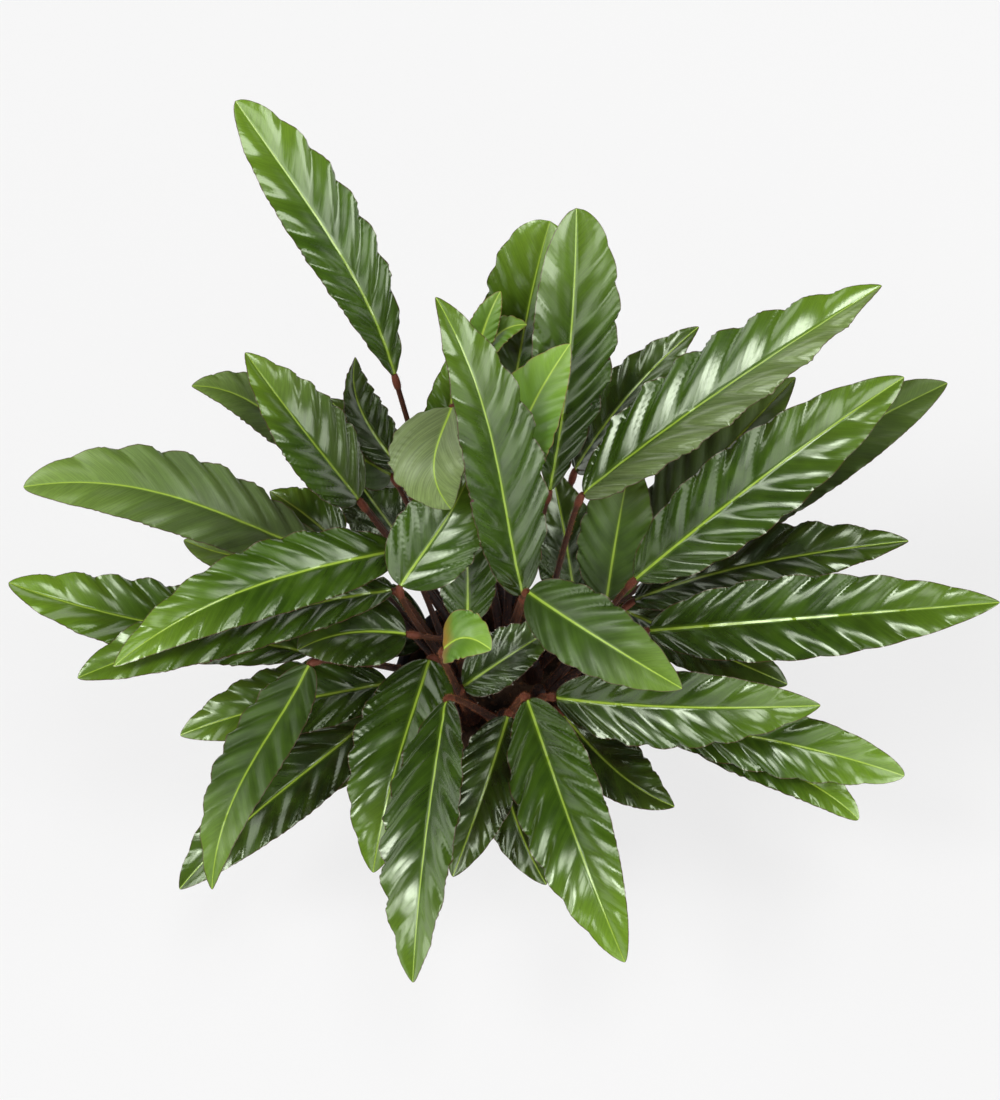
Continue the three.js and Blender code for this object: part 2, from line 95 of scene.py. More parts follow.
class ShaderGraph:
    """Builds a shader tree node by node."""

    def __init__(self, tree: bpy.types.NodeTree) -> None:
        """Starts on an empty tree."""
        self.tree = tree

    def node(self, kind: str, **settings: object) -> bpy.types.Node:
        """Adds a node.

        Args:
            kind: the node's type name.
            settings: properties to set on it.

        Returns:
            The node.
        """
        made = self.tree.nodes.new(kind)
        for key, value in settings.items():
            setattr(made, key, value)
        return made

    def feed(self, socket: bpy.types.NodeSocket, value: object) -> None:
        """Links a socket to an input, or sets it where the value is a plain one."""
        if isinstance(value, bpy.types.NodeSocket):
            self.tree.links.new(value, socket)
        else:
            socket.default_value = value

    def math(self, operation: str, *values: object) -> bpy.types.NodeSocket:
        """One arithmetic step on numbers or sockets."""
        made = self.node("ShaderNodeMath", operation=operation)
        for socket, value in zip(made.inputs, values):
            self.feed(socket, value)
        return made.outputs[0]

    def part(self, value: object, share: object) -> bpy.types.NodeSocket:
        """A value times another."""
        return self.math("MULTIPLY", value, share)

    def line(self, value: object, gain: object, base: object) -> bpy.types.NodeSocket:
        """A value times a gain, on top of a base."""
        return self.math("MULTIPLY_ADD", value, gain, base)

    def rest(self, value: object) -> bpy.types.NodeSocket:
        """What a value leaves up to 1."""
        return self.math("SUBTRACT", 1.0, value)

    def smooth(self, value: object, low: float, high: float) -> bpy.types.NodeSocket:
        """A soft step from 0 at low to 1 at high."""
        made = self.node("ShaderNodeMapRange", interpolation_type="SMOOTHSTEP")
        for name, entry in (("Value", value), ("From Min", low), ("From Max", high)):
            self.feed(made.inputs[name], entry)
        return made.outputs[0]

    def blend(self, share: object, first: object, second: object) -> bpy.types.NodeSocket:
        """Mixes two colours.

        Args:
            share: how much of the second colour.
            first: the colour at share 0.
            second: the colour at share 1.

        Returns:
            The mixed colour.
        """
        made = self.node("ShaderNodeMix", data_type="RGBA")
        self.feed(made.inputs[0], share)
        self.feed(made.inputs[6], first)
        self.feed(made.inputs[7], second)
        return made.outputs[2]

    def attribute(self, name: str) -> bpy.types.NodeSocket:
        """A number that the mesh carries."""
        return self.node("ShaderNodeAttribute", attribute_name=name).outputs["Fac"]

    def place(self) -> bpy.types.NodeSocket:
        """The point on the piece, in metres."""
        return self.node("ShaderNodeTexCoord").outputs["Object"]

    def vector(self, x: object, y: object, z: object) -> bpy.types.NodeSocket:
        """A place made of three numbers."""
        made = self.node("ShaderNodeCombineXYZ")
        for socket, value in zip(made.inputs, (x, y, z)):
            self.feed(socket, value)
        return made.outputs[0]

    def stretched(self, vector: object, scale: Sequence[float]) -> bpy.types.NodeSocket:
        """A place with each axis scaled."""
        made = self.node("ShaderNodeMapping")
        self.feed(made.inputs["Vector"], vector)
        made.inputs["Scale"].default_value = tuple(scale)
        return made.outputs[0]

    def noise(
        self,
        vector: object,
        scale: float,
        detail: float = 2.0,
        rough: float = 0.5,
    ) -> bpy.types.NodeSocket:
        """Soft noise from 0 to 1.

        Args:
            vector: the place it is read at.
            scale: waves to a metre.
            detail: how many finer layers it has.
            rough: how strong they are.

        Returns:
            The noise.
        """
        made = self.node("ShaderNodeTexNoise")
        self.feed(made.inputs["Vector"], vector)
        made.inputs["Scale"].default_value = scale
        made.inputs["Detail"].default_value = detail
        made.inputs["Roughness"].default_value = rough
        return made.outputs["Fac"]

    def bump(self, height: object, distance: float, strength: float = 1.0) -> bpy.types.NodeSocket:
        """A normal that follows a height."""
        made = self.node("ShaderNodeBump")
        self.feed(made.inputs["Height"], height)
        made.inputs["Distance"].default_value = distance
        made.inputs["Strength"].default_value = strength
        return made.outputs[0]

    def group(self, tree: bpy.types.NodeTree) -> bpy.types.Node:
        """Adds a shared effect."""
        return self.node("ShaderNodeGroup", node_tree=tree)


@dataclass(frozen=True)
class Gloss:
    """The settings of a surface that are the same all over it."""

    roughness: float = 0.5
    specular: float = 0.5
    specular_tint: Colour = WHITE
    sheen: float = 0.0
    sheen_roughness: float = 0.4
    sheen_tint: Colour = WHITE


def surface(name: str, gloss: Gloss) -> tuple[bpy.types.Material, ShaderGraph, bpy.types.Node]:
    """Starts a material.

    Args:
        name: the material's name.
        gloss: the settings that are the same all over it.

    Returns:
        The material, its graph and its shader node.
    """
    material = bpy.data.materials.new(name)
    material.use_nodes = True
    graph = ShaderGraph(material.node_tree)
    shader = material.node_tree.nodes["Principled BSDF"]
    shader.inputs["Roughness"].default_value = gloss.roughness
    shader.inputs["Specular IOR Level"].default_value = gloss.specular
    shader.inputs["Specular Tint"].default_value = gloss.specular_tint
    shader.inputs["Sheen Weight"].default_value = gloss.sheen
    shader.inputs["Sheen Roughness"].default_value = gloss.sheen_roughness
    shader.inputs["Sheen Tint"].default_value = gloss.sheen_tint
    return material, graph, shader


class GeometryTree:
    """A geometry node tree with named inputs, built node by node."""

    def __init__(self, name: str) -> None:
        """Starts a tree that takes and gives geometry."""
        self.tree = bpy.data.node_groups.new(name, "GeometryNodeTree")
        self.tree.interface.new_socket("Geometry", in_out="INPUT", socket_type="NodeSocketGeometry")
        self.tree.interface.new_socket("Geometry", in_out="OUTPUT", socket_type="NodeSocketGeometry")
        self.inlet = self.tree.nodes.new("NodeGroupInput")
        self.outlet = self.tree.nodes.new("NodeGroupOutput")
        self.keys: dict[str, str] = {}

    def knob(self, name: str, kind: str) -> bpy.types.NodeSocket:
        """Adds a named input.

        Args:
            name: the input's name.
            kind: Float, Int or Material.

        Returns:
            The socket that carries it inside the tree.
        """
        socket = self.tree.interface.new_socket(name, in_out="INPUT", socket_type=f"NodeSocket{kind}")
        self.keys[name] = socket.identifier
        return self.inlet.outputs[name]

    def node(self, kind: str, inputs: dict[str, object], **settings: object) -> bpy.types.Node:
        """Adds a node with its inputs linked or set.

        Args:
            kind: the node's type name.
            inputs: socket names with what feeds them.
            settings: properties to set on it.

        Returns:
            The node.
        """
        made = self.tree.nodes.new(kind)
        for key, value in settings.items():
            setattr(made, key, value)
        for name, value in inputs.items():
            socket = made.inputs[name]
            if isinstance(value, bpy.types.NodeSocket):
                self.tree.links.new(value, socket)
            else:
                socket.default_value = value
        return made

    def stored(self, name: str) -> bpy.types.NodeSocket:
        """A number that the mesh carries."""
        made = self.node("GeometryNodeInputNamedAttribute", {"Name": name}, data_type="FLOAT")
        return made.outputs["Attribute"]

    def drawn(self, seed: object, low: Sequence[float], high: Sequence[float]) -> bpy.types.NodeSocket:
        """A random place in a box for each point."""
        made = self.node("FunctionNodeRandomValue", {"Seed": seed}, data_type="FLOAT_VECTOR")
        made.inputs[0].default_value = tuple(low)
        made.inputs[1].default_value = tuple(high)
        return made.outputs[0]

    def strewn(self, count: object, seed: object) -> bpy.types.Node:
        """Strews about this many points over the whole of the base's faces."""
        base = self.inlet.outputs[0]
        area = self.node("GeometryNodeInputMeshFaceArea", {})
        total = self.node(
            "GeometryNodeAttributeStatistic",
            {"Geometry": base, "Attribute": area.outputs[0]},
            domain="FACE",
        )
        share = self.node("ShaderNodeMath", {}, operation="DIVIDE")
        self.tree.links.new(count, share.inputs[0])
        self.tree.links.new(total.outputs["Sum"], share.inputs[1])
        spots = {"Mesh": base, "Density": share.outputs[0], "Seed": seed}
        return self.node("GeometryNodeDistributePointsOnFaces", spots)

    def close(self, geometry: bpy.types.NodeSocket, finish: bpy.types.NodeSocket) -> None:
        """Ends the tree with this geometry as real faces of one finish."""
        real = self.node("GeometryNodeRealizeInstances", {"Geometry": geometry})
        done = self.node("GeometryNodeSetMaterial", {"Geometry": real.outputs[0], "Material": finish})
        self.tree.links.new(done.outputs[0], self.outlet.inputs[0])

    def grow(self, base: bpy.types.Object, name: str, knobs: dict[str, object]) -> bpy.types.Object:
        """Runs the tree on an object and keeps the result as a plain mesh.

        Args:
            base: the object that it grows from.
            name: the new piece's name.
            knobs: values for the named inputs.

        Returns:
            The new piece.
        """
        modifier = base.modifiers.new(self.tree.name, "NODES")
        modifier.node_group = self.tree
        for knob, value in knobs.items():
            modifier[self.keys[knob]] = value
        made = frozen(base, name)
        base.modifiers.remove(modifier)
        return made


def frozen(base: bpy.types.Object, name: str) -> bpy.types.Object:
    """A plain mesh of an object with its modifiers run.

    Args:
        base: the object.
        name: the new piece's name.

    Returns:
        The new piece.
    """
    view = bpy.context.evaluated_depsgraph_get()
    shown = base.evaluated_get(view)
    mesh = bpy.data.meshes.new_from_object(shown, preserve_all_data_layers=True, depsgraph=view)
    mesh.name = name
    made = bpy.data.objects.new(name, mesh)
    bpy.context.scene.collection.objects.link(made)
    return made


def mesh_object(
    name: str,
    points: Array,
    faces: Sequence[Sequence[int]],
    edges: Sequence[Sequence[int]] = (),
) -> bpy.types.Object:
    """Makes an object from points and faces.

    Args:
        name: its name.
        points: places in metres, one row each.
        faces: corner numbers of each face.
        edges: end numbers of each loose edge.

    Returns:
        The object, linked to the scene.
    """
    mesh = bpy.data.meshes.new(name)
    mesh.from_pydata(np.asarray(points).tolist(), list(edges), list(faces))
    made = bpy.data.objects.new(name, mesh)
    bpy.context.scene.collection.objects.link(made)
    return made


def ring_quads(first: int, second: int, count: int, flip: bool = False) -> list[list[int]]:
    """Faces between two rings of points.

    Args:
        first: number of the first ring's first point.
        second: number of the second ring's first point.
        count: points in each ring.
        flip: whether the faces look the other way.

    Returns:
        Corner numbers of each face.
    """
    quads = []
    for s in range(count):
        n = (s + 1) % count
        a, b, c, d = first + s, first + n, second + n, second + s
        quads.append([a, d, c, b] if flip else [a, b, c, d])
    return quads


def circle(count: int) -> Array:
    """Evenly spaced angles round a circle."""
    return np.linspace(0, 2 * math.pi, count, endpoint=False)


def carry(mesh: bpy.types.Mesh, name: str, values: Array) -> None:
    """Stores a number on each point of a mesh."""
    layer = mesh.attributes.new(name, "FLOAT", "POINT")
    layer.data.foreach_set("value", np.ascontiguousarray(values, np.float32).ravel())


def discard(piece: bpy.types.Object) -> None:
    """Removes a helper object and its data."""
    data = piece.data
    bpy.data.objects.remove(piece)
    if data is not None and data.users == 0:
        bpy.data.meshes.remove(data)


def settle(piece: bpy.types.Object, slot: str, *nodes: str) -> None:
    """Puts a finished piece on the plant.

    Args:
        piece: the piece, with its place in its mesh.
        slot: not used.
        nodes: the CAD nodes that it stands for.
    """
    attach(piece, ROOT)
    if nodes:
        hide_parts(*nodes)
    LOG.info("%s: %d faces", piece.name, len(piece.data.polygons))


# ---------------------------------------------------------------------------
# Finishes
# ---------------------------------------------------------------------------


@dataclass(frozen=True)
class Venation:
    """The side veins of a blade: uneven pleats and the fine lines between them."""

    name: str = "Side veins"
    pleat: float = 4.5 * MM
    fine: float = 0.9 * MM
    fine_spread: float = 2.2
    drift_scale: float = 45.0
    edges: tuple[float, float] = (0.3, 0.7)

    def tree(self) -> bpy.types.NodeTree:
        """A shader group that gives the pleats, the fine lines and a slow drift over the blade."""
        found = bpy.data.node_groups.get(self.name)
        if found:
            return found
        tree = bpy.data.node_groups.new(self.name, "ShaderNodeTree")
        for name in ("Pleats", "Lines", "Drift"):
            tree.interface.new_socket(name, in_out="OUTPUT", socket_type="NodeSocketFloat")
        graph = ShaderGraph(tree)
        outlet = graph.node("NodeGroupOutput")
        vein, across, seed = (graph.attribute(name) for name in ("vein", "across", "leaf_seed"))
        coarse = graph.vector(graph.math("DIVIDE", vein, self.pleat), across, seed)
        wide = graph.part(across, self.fine_spread)
        narrow = graph.vector(graph.math("DIVIDE", vein, self.fine), wide, seed)
        pleats = graph.noise(coarse, 1.0, 1.0, 0.35)
        lines = graph.noise(narrow, 1.0, 1.0, 0.4)
        graph.feed(outlet.inputs["Pleats"], graph.smooth(pleats, *self.edges))
        graph.feed(outlet.inputs["Lines"], graph.smooth(lines, *self.edges))
        graph.feed(outlet.inputs["Drift"], graph.noise(graph.place(), self.drift_scale, 2.0))
        return tree


@dataclass(frozen=True)
class BladeFinish:
    """One face of a leaf blade: its greens, its midrib and its veins."""

    name: str
    shade: Colour
    deep: Colour
    light: Colour
    tip: Colour
    rib: Colour
    rim: Colour
    gloss: Gloss
    # Pale grey-green mixed in by grey_and_sheen: partly a leaf's own greyer tone, partly painted sheen
    pale: Colour = srgb("#8b9a66")
    blush: Colour = srgb("#a0661e")
    rib_width: float = 1.15 * MM
    rib_taper: float = 0.68
    rib_height: float = 0.9
    rim_width: float = 0.5 * MM
    rim_share: float = 0.8
    flat_by_rib: float = 3.5 * MM
    pleat_height: float = 0.65
    line_height: float = 0.05
    mottle_height: float = 0.04
    relief: float = 0.08 * MM
    streaks: tuple[float, float] = (0.22, 0.05)
    tip_light: tuple[float, float] = (0.7, 0.15)
    line_shade: tuple[float, float] = (0.3, 0.2)
    drift_light: float = 0.25
    foot_painted_shade: float = 0.4
    mottle_shade: float = 0.12
    halo_light: float = 0.22
    mottle_scale: float = 420.0
    rough_spread: float = 0.1

    def material(self) -> bpy.types.Material:
        """The finish as a material."""
        material, graph, shader = surface(self.name, self.gloss)
        veins = graph.group(Venation().tree())
        mottle = graph.noise(graph.place(), self.mottle_scale, 3.0)
        taper = graph.part(graph.line(graph.attribute("along"), -self.rib_taper, 1.0), self.rib_width)
        from_rib = graph.math("DIVIDE", graph.attribute("off_rib"), taper)
        ribbed = graph.rest(graph.smooth(from_rib, 0.55, 1.15))
        body = self.greens(graph, veins, mottle)
        halo = graph.rest(graph.smooth(from_rib, 0.8, 3.2))
        body = graph.blend(graph.part(halo, self.halo_light), body, self.tip)
        body = graph.blend(ribbed, body, self.rib)
        rim = graph.smooth(graph.attribute("off_rim"), self.rim_width * 0.5, self.rim_width * 1.6)
        body = graph.blend(graph.part(graph.rest(rim), self.rim_share), body, self.rim)
        graph.feed(shader.inputs["Base Color"], body)

        height = graph.part(veins.outputs["Pleats"], self.pleat_height)
        height = graph.line(veins.outputs["Lines"], self.line_height, height)
        height = graph.line(mottle, self.mottle_height, height)
        height = graph.part(height, graph.smooth(graph.attribute("off_rib"), 0.0, self.flat_by_rib))
        height = graph.line(ribbed, self.rib_height, graph.part(height, graph.rest(ribbed)))
        graph.feed(shader.inputs["Normal"], graph.bump(height, self.relief))
        rough = graph.line(mottle, self.rough_spread, self.gloss.roughness - self.rough_spread / 2)
        graph.feed(shader.inputs["Roughness"], rough)
        return material

    def greens(self, graph: ShaderGraph, veins: bpy.types.Node, mottle: object) -> bpy.types.NodeSocket:
        """The colour between midrib and rim.

        Args:
            graph: the material's graph.
            veins: the node that gives the side veins.
            mottle: fine noise.

        Returns:
            The colour.
        """
        along, tone, grey_and_sheen = (graph.attribute(name) for name in ("along", "tone", "grey_and_sheen"))
        # tone leans to the shade colour: partly each leaf's own lightness, partly painted shade on leaves that
        # lie under others
        body = graph.blend(tone, self.shade, self.deep)
        streaked = graph.part(veins.outputs["Pleats"], graph.line(tone, *self.streaks))
        body = graph.blend(streaked, body, self.light)
        near_tip = graph.part(graph.smooth(along, 0.5, 1.0), graph.line(tone, *self.tip_light))
        body = graph.blend(near_tip, body, self.tip)
        drift = graph.smooth(veins.outputs["Drift"], 0.35, 0.7)
        body = graph.blend(graph.part(drift, self.drift_light), body, self.light)
        # painted shade: the blade darkens towards its foot, under the leaves above
        near_foot = graph.rest(graph.smooth(along, 0.0, 0.45))
        body = graph.blend(graph.part(near_foot, self.foot_painted_shade), body, self.shade)
        # pale grey-green, partly a leaf's own greyer tone and partly painted sheen where it faces the lamps
        body = graph.blend(grey_and_sheen, body, self.pale)
        body = graph.blend(graph.attribute("blush"), body, self.blush)
        lined = graph.part(veins.outputs["Lines"], graph.line(grey_and_sheen, *self.line_shade))
        body = graph.blend(lined, body, self.shade)
        return graph.blend(graph.part(mottle, self.mottle_shade), body, self.shade)


# A slightly green shine
WAX = (0.9, 1.0, 0.8, 1.0)
MATURE = BladeFinish(
    name="blade_green",
    shade=srgb("#172407"),
    deep=srgb("#34500c"),
    light=srgb("#587c1c"),
    tip=srgb("#7ca02c"),
    rib=srgb("#94b03a"),
    rim=srgb("#462821"),
    gloss=Gloss(roughness=0.22, specular=0.95, specular_tint=WAX),
)
DULL = replace(
    MATURE,
    name="blade_dull",
    gloss=Gloss(roughness=0.42, specular=0.55, specular_tint=WAX),
)
YOUNG = BladeFinish(
    name="blade_young",
    shade=srgb("#466a1c"),
    deep=srgb("#628a22"),
    light=srgb("#7ea632"),
    tip=srgb("#94b83e"),
    rib=srgb("#a8c644"),
    rim=srgb("#7a5a2c"),
    gloss=Gloss(roughness=0.42, specular=0.5, sheen=0.15),
    pleat_height=0.35,
)
UNDERSIDE = BladeFinish(
    name="blade_underside",
    shade=srgb("#3a1622"),
    deep=srgb("#5c2434"),
    light=srgb("#74404a"),
    tip=srgb("#6a4c3e"),
    rib=srgb("#9a7a44"),
    rim=srgb("#3a2018"),
    gloss=Gloss(roughness=0.7, specular=0.3, sheen=0.5, sheen_tint=srgb("#c89a96")),
    rib_width=1.9 * MM,
)


@dataclass(frozen=True)
class StalkFinish:
    """Stalks and sheaths: dark red-brown below, partly their own colour and partly painted shade deep in the
    crown, orange-brown above, rust on the cushions.
    """

    name: str = "stalk_brown"
    # The dark low colour is partly painted shade, where stalks and collars stand deep in the crown
    low: Colour = srgb("#190a08")
    high: Colour = srgb("#40200f")
    cushion: Colour = srgb("#5e2f1e")
    streak: Colour = srgb("#150907")
    gloss: Gloss = Gloss(roughness=0.62, specular=0.3, sheen=0.15, sheen_tint=srgb("#b88a6c"))
    streak_share: float = 0.5
    blotch_share: float = 0.35
    relief: float = 0.25 * MM

    def material(self) -> bpy.types.Material:
        """The finish as a material."""
        material, graph, shader = surface(self.name, self.gloss)
        climb = graph.attribute("climb")
        swollen = graph.attribute("swollen")
        place = graph.place()
        fibres = graph.noise(graph.stretched(place, (1.0, 1.0, 0.12)), 900.0, 3.0, 0.6)
        blotch = graph.noise(place, 130.0, 2.0)
        # painted shade: darker towards the foot of each stalk and all over the collar
        body = graph.blend(graph.smooth(climb, 0.35, 0.95), self.low, self.high)
        body = graph.blend(graph.part(graph.smooth(fibres, 0.45, 0.8), self.streak_share), body, self.streak)
        body = graph.blend(graph.part(graph.smooth(blotch, 0.5, 0.8), self.blotch_share), body, self.high)
        body = graph.blend(swollen, body, self.cushion)
        graph.feed(shader.inputs["Base Color"], body)
        graph.feed(shader.inputs["Normal"], graph.bump(fibres, self.relief, 0.8))
        return material


@dataclass(frozen=True)
class DownFinish:
    """The short hairs on the stalks, rust-brown, paler in patches."""

    name: str = "down_rust"
    root: Colour = srgb("#6a2c1a")
    tip: Colour = srgb("#c07a4c")
    gloss: Gloss = Gloss(roughness=0.6, specular=0.3)

    def material(self) -> bpy.types.Material:
        """The finish as a material."""
        material, graph, shader = surface(self.name, self.gloss)
        spread = graph.smooth(graph.noise(graph.place(), 260.0, 1.0), 0.3, 0.7)
        graph.feed(shader.inputs["Base Color"], graph.blend(spread, self.root, self.tip))
        return material


@dataclass(frozen=True)
class SoilFinish:
    """Dark peat, damp in patches."""

    name: str
    dry: Colour
    damp: Colour
    gloss: Gloss = Gloss(roughness=0.95, specular=0.2)
    grain_share: float = 0.5
    relief: float = 1.1 * MM

    def material(self) -> bpy.types.Material:
        """The finish as a material."""
        material, graph, shader = surface(self.name, self.gloss)
        place = graph.place()
        patch = graph.noise(place, 38.0, 3.0)
        grain = graph.noise(place, 700.0, 4.0, 0.65)
        body = graph.blend(graph.smooth(patch, 0.38, 0.62), self.dry, self.damp)
        body = graph.blend(graph.part(graph.smooth(grain, 0.5, 0.8), self.grain_share), body, self.dry)
        graph.feed(shader.inputs["Base Color"], body)
        graph.feed(shader.inputs["Normal"], graph.bump(grain, self.relief))
        return material


@dataclass(frozen=True)
class PotFinish:
    """Thin moulded plastic, dark grey, with a faint grain and rubbed patches."""

    name: str = "pot_plastic"
    body: Colour = srgb("#26282b")
    rubbed: Colour = srgb("#45484c")
    gloss: Gloss = Gloss(roughness=0.5, specular=0.45)
    worn_share: float = 0.45
    rough_spread: float = 0.24
    relief: float = 0.08 * MM

    def material(self) -> bpy.types.Material:
        """The finish as a material."""
        material, graph, shader = surface(self.name, self.gloss)
        place = graph.place()
        grain = graph.noise(place, 1500.0, 2.0)
        scuff = graph.noise(graph.stretched(place, (1.0, 1.0, 0.35)), 60.0, 5.0, 0.7)
        worn = graph.part(graph.smooth(scuff, 0.55, 0.8), self.worn_share)
        rough = graph.line(scuff, self.rough_spread, self.gloss.roughness - self.rough_spread / 2)
        graph.feed(shader.inputs["Base Color"], graph.blend(worn, self.body, self.rubbed))
        graph.feed(shader.inputs["Roughness"], rough)
        graph.feed(shader.inputs["Normal"], graph.bump(grain, self.relief))
        return material


@dataclass(frozen=True)
class FloorFinish:
    """A plain pale ground that glows a little, so that shadows on it stay faint."""

    name: str = "floor_pale"
    paper: Colour = (0.17, 0.17, 0.17, 1.0)
    glow: float = 0.715
    gloss: Gloss = Gloss(roughness=0.8, specular=0.1)

    def material(self) -> bpy.types.Material:
        """The finish as a material."""
        material, _, shader = surface(self.name, self.gloss)
        shader.inputs["Base Color"].default_value = self.paper
        shader.inputs["Emission Color"].default_value = WHITE
        shader.inputs["Emission Strength"].default_value = self.glow
        return material


# ---------------------------------------------------------------------------
# Leaves
# ---------------------------------------------------------------------------


class Look(Enum):
    """How light a blade's green is and how much pale grey-green it shows. Both are partly each leaf's own
    colour and partly painted light: painted shade on the dark leaves that lie under others, painted sheen on
    the bright and pale ones.
    """

    DARK = (0.05, 0.0)
    MIDDLE = (0.45, 0.0)
    BRIGHT = (0.85, 0.0)
    PLAIN = (0.6, 0.02)
    OLIVE = (0.3, 0.1)
    SOFT = (0.75, 0.2)
    PALE = (0.7, 0.6)


# Where each stem clump stands, in millimetres round the pot's axis
CLUMPS: dict[str, tuple[float, float]] = {
    "rear_left": (-20, 26),
    "rear": (4, 31),
    "rear_right": (26, 16),
    "right": (31, -9),
    "front": (3, -31),
    "front_left": (-24, -21),
    "left": (-32, 4),
}

# Leaf number, clump, foot of the blade x y z in millimetres, heading and pitch of its chord in degrees,
# chord length, width, arch upwards, bow to its right, roll in degrees, lateness of the arch, where it is widest
LEAF_ROWS: list[tuple] = [
    ("01", "rear_left", (-80, 158, 365), 135.5, 52.5, 248, 57, 9, 6, 5, -0.5, 0.57),
    ("02", "rear_left", (-146, 171, 225), 166, 32, 117, 45, 7, 7, 2, 0.7, 0.43),
    ("03", "rear_left", (-109, 94, 285), 141, 46, 150, 61, 12, -8, 8, 0.5, 0.43),
    ("04", "rear_left", (-81, 126, 160), 135, 36, 84, 60, 7, -2, 0, 0.3, 0.43),
    ("05", "rear_left", (-80, 133, 270), 125, 60, 104, 33, -8, -8, 8, 0.3, 0.39),
    ("06", "rear_left", (-78, 146, 224), 147, 44, 93, 43, 7, -4, 0, 0.3, 0.43),
    ("07", "rear_left", (-86, 129, 262), 158, 34, 71, 45, 7, -6, 0, 0, 0.43),
    ("08", "rear", (-36, 118, 382), -90, -20, 76, 70, 16, 4, 32, 0.5, 0.43),
    ("09", "left", (-75, 16, 292), 54.5, 28, 105, 63, 8, 2, 28, 0.8, 0.43),
    ("10", "rear", (17, 16, 279), 117, 58, 260, 64, 14, 3, 14, 0.8, 0.43),
    ("11", "rear_left", (-42, 103, 295), 83, 58, 112, 39, 8, 2, -4, 0.6, 0.43),
    ("12", "rear", (-17, 178, 366), 60, 46, 50, 20, 5, 0, 0, 0.3, 0.43),
    ("13", "rear", (-11, 179, 361), 20, 34, 40, 22, 7, -3, 0, 0.3, 0.43),
    ("14", "rear", (6, 161, 285), 70, 59, 178, 64, 7, 0, -8, 0.6, 0.66),
    ("15", "rear", (38, 95, 299), 82, 58, 233, 64, 8, 2, 26, 0, 0.62),
    ("16", "rear", (11, 87, 329), 55, 55, 122, 52, 12, -5, 0, -0.2, 0.43),
    ("17", "rear_right", (59, 132, 265), 31, 49, 161, 45, 19, 3, 0, 0.2, 0.43),
    ("19", "rear_right", (63, 77, 325), 22, 34, 275, 76, 11, 4, -14, -0.2, 0.43),
    ("20", "rear_right", (110, 81, 235), 37, 37, 181, 52, 11, 2, 6, 0.1, 0.43),
    ("21", "right", (104, 31, 275), 25, 35, 257, 64, 24, -3, 23, 0.2, 0.47),
    ("22", "rear_right", (159, 97, 205), 22, 32, 235, 67, 20, -5, 8, -0.2, 0.45),
    ("23", "right", (106, 43, 215), 4, 19, 218, 54, 20, 2, 0, -0.2, 0.43),
    ("24", "right", (115, -1, 250), -4, 18, 266, 60, 11, 1, 22, -0.2, 0.43),
    ("25", "rear_right", (90, 60, 172), -28, 2, 154, 52, 12, 6, 0, 0.9, 0.47),
    ("26", "rear", (22, 8, 296), -37, 4, 140, 54, 19, 1, 24, 0, 0.43),
    ("27", "right", (43, -46, 225), -8, 13, 203, 57, 21, -1, 40, -0.1, 0.43),
    ("28", "right", (109, -47, 190), -15, 3, 207, 48, 22, -9, 35, 0.3, 0.52),
    ("29", "right", (147, -65, 183), -25, -4, 142, 36, 16, -4, 0, 0.4, 0.52),
    ("30", "front", (51, -29, 154), -41, -4, 113, 50, 4, 9, 1, 0.3, 0.41),
    ("31", "front", (21, -50, 230), -71, -4, 217, 65, 23, -5, 26, 0.6, 0.45),
    ("32", "front", (0, -61, 160), -71, -11, 112, 44, 7, 7, 0, 0, 0.43),
    ("33", "front", (6, -44, 185), -109, -11, 132, 48, 12, -3, 0, 0, 0.43),
    ("34", "front", (-41, -57, 242), -96, -6, 217, 68, 24, -17, 37, 0.4, 0.48),
    ("35", "front_left", (-55, -4, 204), -104, -9, 173, 70, 22, -2, 7, 0.6, 0.43),
    ("36", "left", (-145, -33, 255), -112, -10, 184, 46, 23, 2, 8, 0.9, 0.41),
    ("37", "front_left", (-88, -15, 185), -164, 1, 166, 56, 16, -1, -6, 0.4, 0.43),
    ("38", "front_left", (-99, -31, 160), -139, -11, 203, 60, 16, -1, -1, 0.9, 0.43),
    ("40", "front_left", (-42, -34, 285), -12, 22, 39, 42, 12, -3, -1, 0.3, 0.43),
    ("41", "front_left", (-99, -26, 155), -121, -18, 71, 28, 2, -4, 0, 0.3, 0.43),
    ("42", "left", (-131, 60, 255), 179, 25, 245, 64, 26, 6, -4, 0.7, 0.52),
    ("43", "left", (-126, 85, 228), 152, 30, 70, 43, 8, -1, 0, 0.3, 0.39),
    ("44", "left", (-133, 69, 225), 176, 13, 116, 38, 6, -8, -6, 0.6, 0.47),
    ("45", "left", (-78, 47, 290), -152, 6, 234, 54, 21, 11, -14, 0.3, 0.41),
    ("46", "left", (-83, 24, 268), -159, 7, 247, 56, 18, 0, 0, 0, 0.5),
    ("47", "left", (-148, -10, 230), 175, 20, 234, 60, 10, -11, 3, 0.8, 0.51),
    ("48", "left", (-60, 34, 160), 160, 6, 112, 64, 4, 0, 0, 0.3, 0.43),
    ("49", "rear", (-72, -2, 246), -168, 5, 84, 64, 8, 4, 0, 0.2, 0.43),
    ("51", "left", (-25, 9, 245), 94, 56, 93, 40, 3, 2, 0, 0.4, 0.43),
    ("53", "front_left", (-28, -25, 201), 22, 31, 90, 44, 6, 2, 0, 0.3, 0.43),
    ("54", "rear_right", (83, 38, 225), 77, 52, 123, 54, 12, 0, 0, 0.2, 0.47),
    ("55", "rear_right", (60, 55, 185), 106, 52, 118, 50, 7, 0, 0, 0.3, 0.43),
]
YOUNG_LEAVES = ("12", "13", "16", "40")
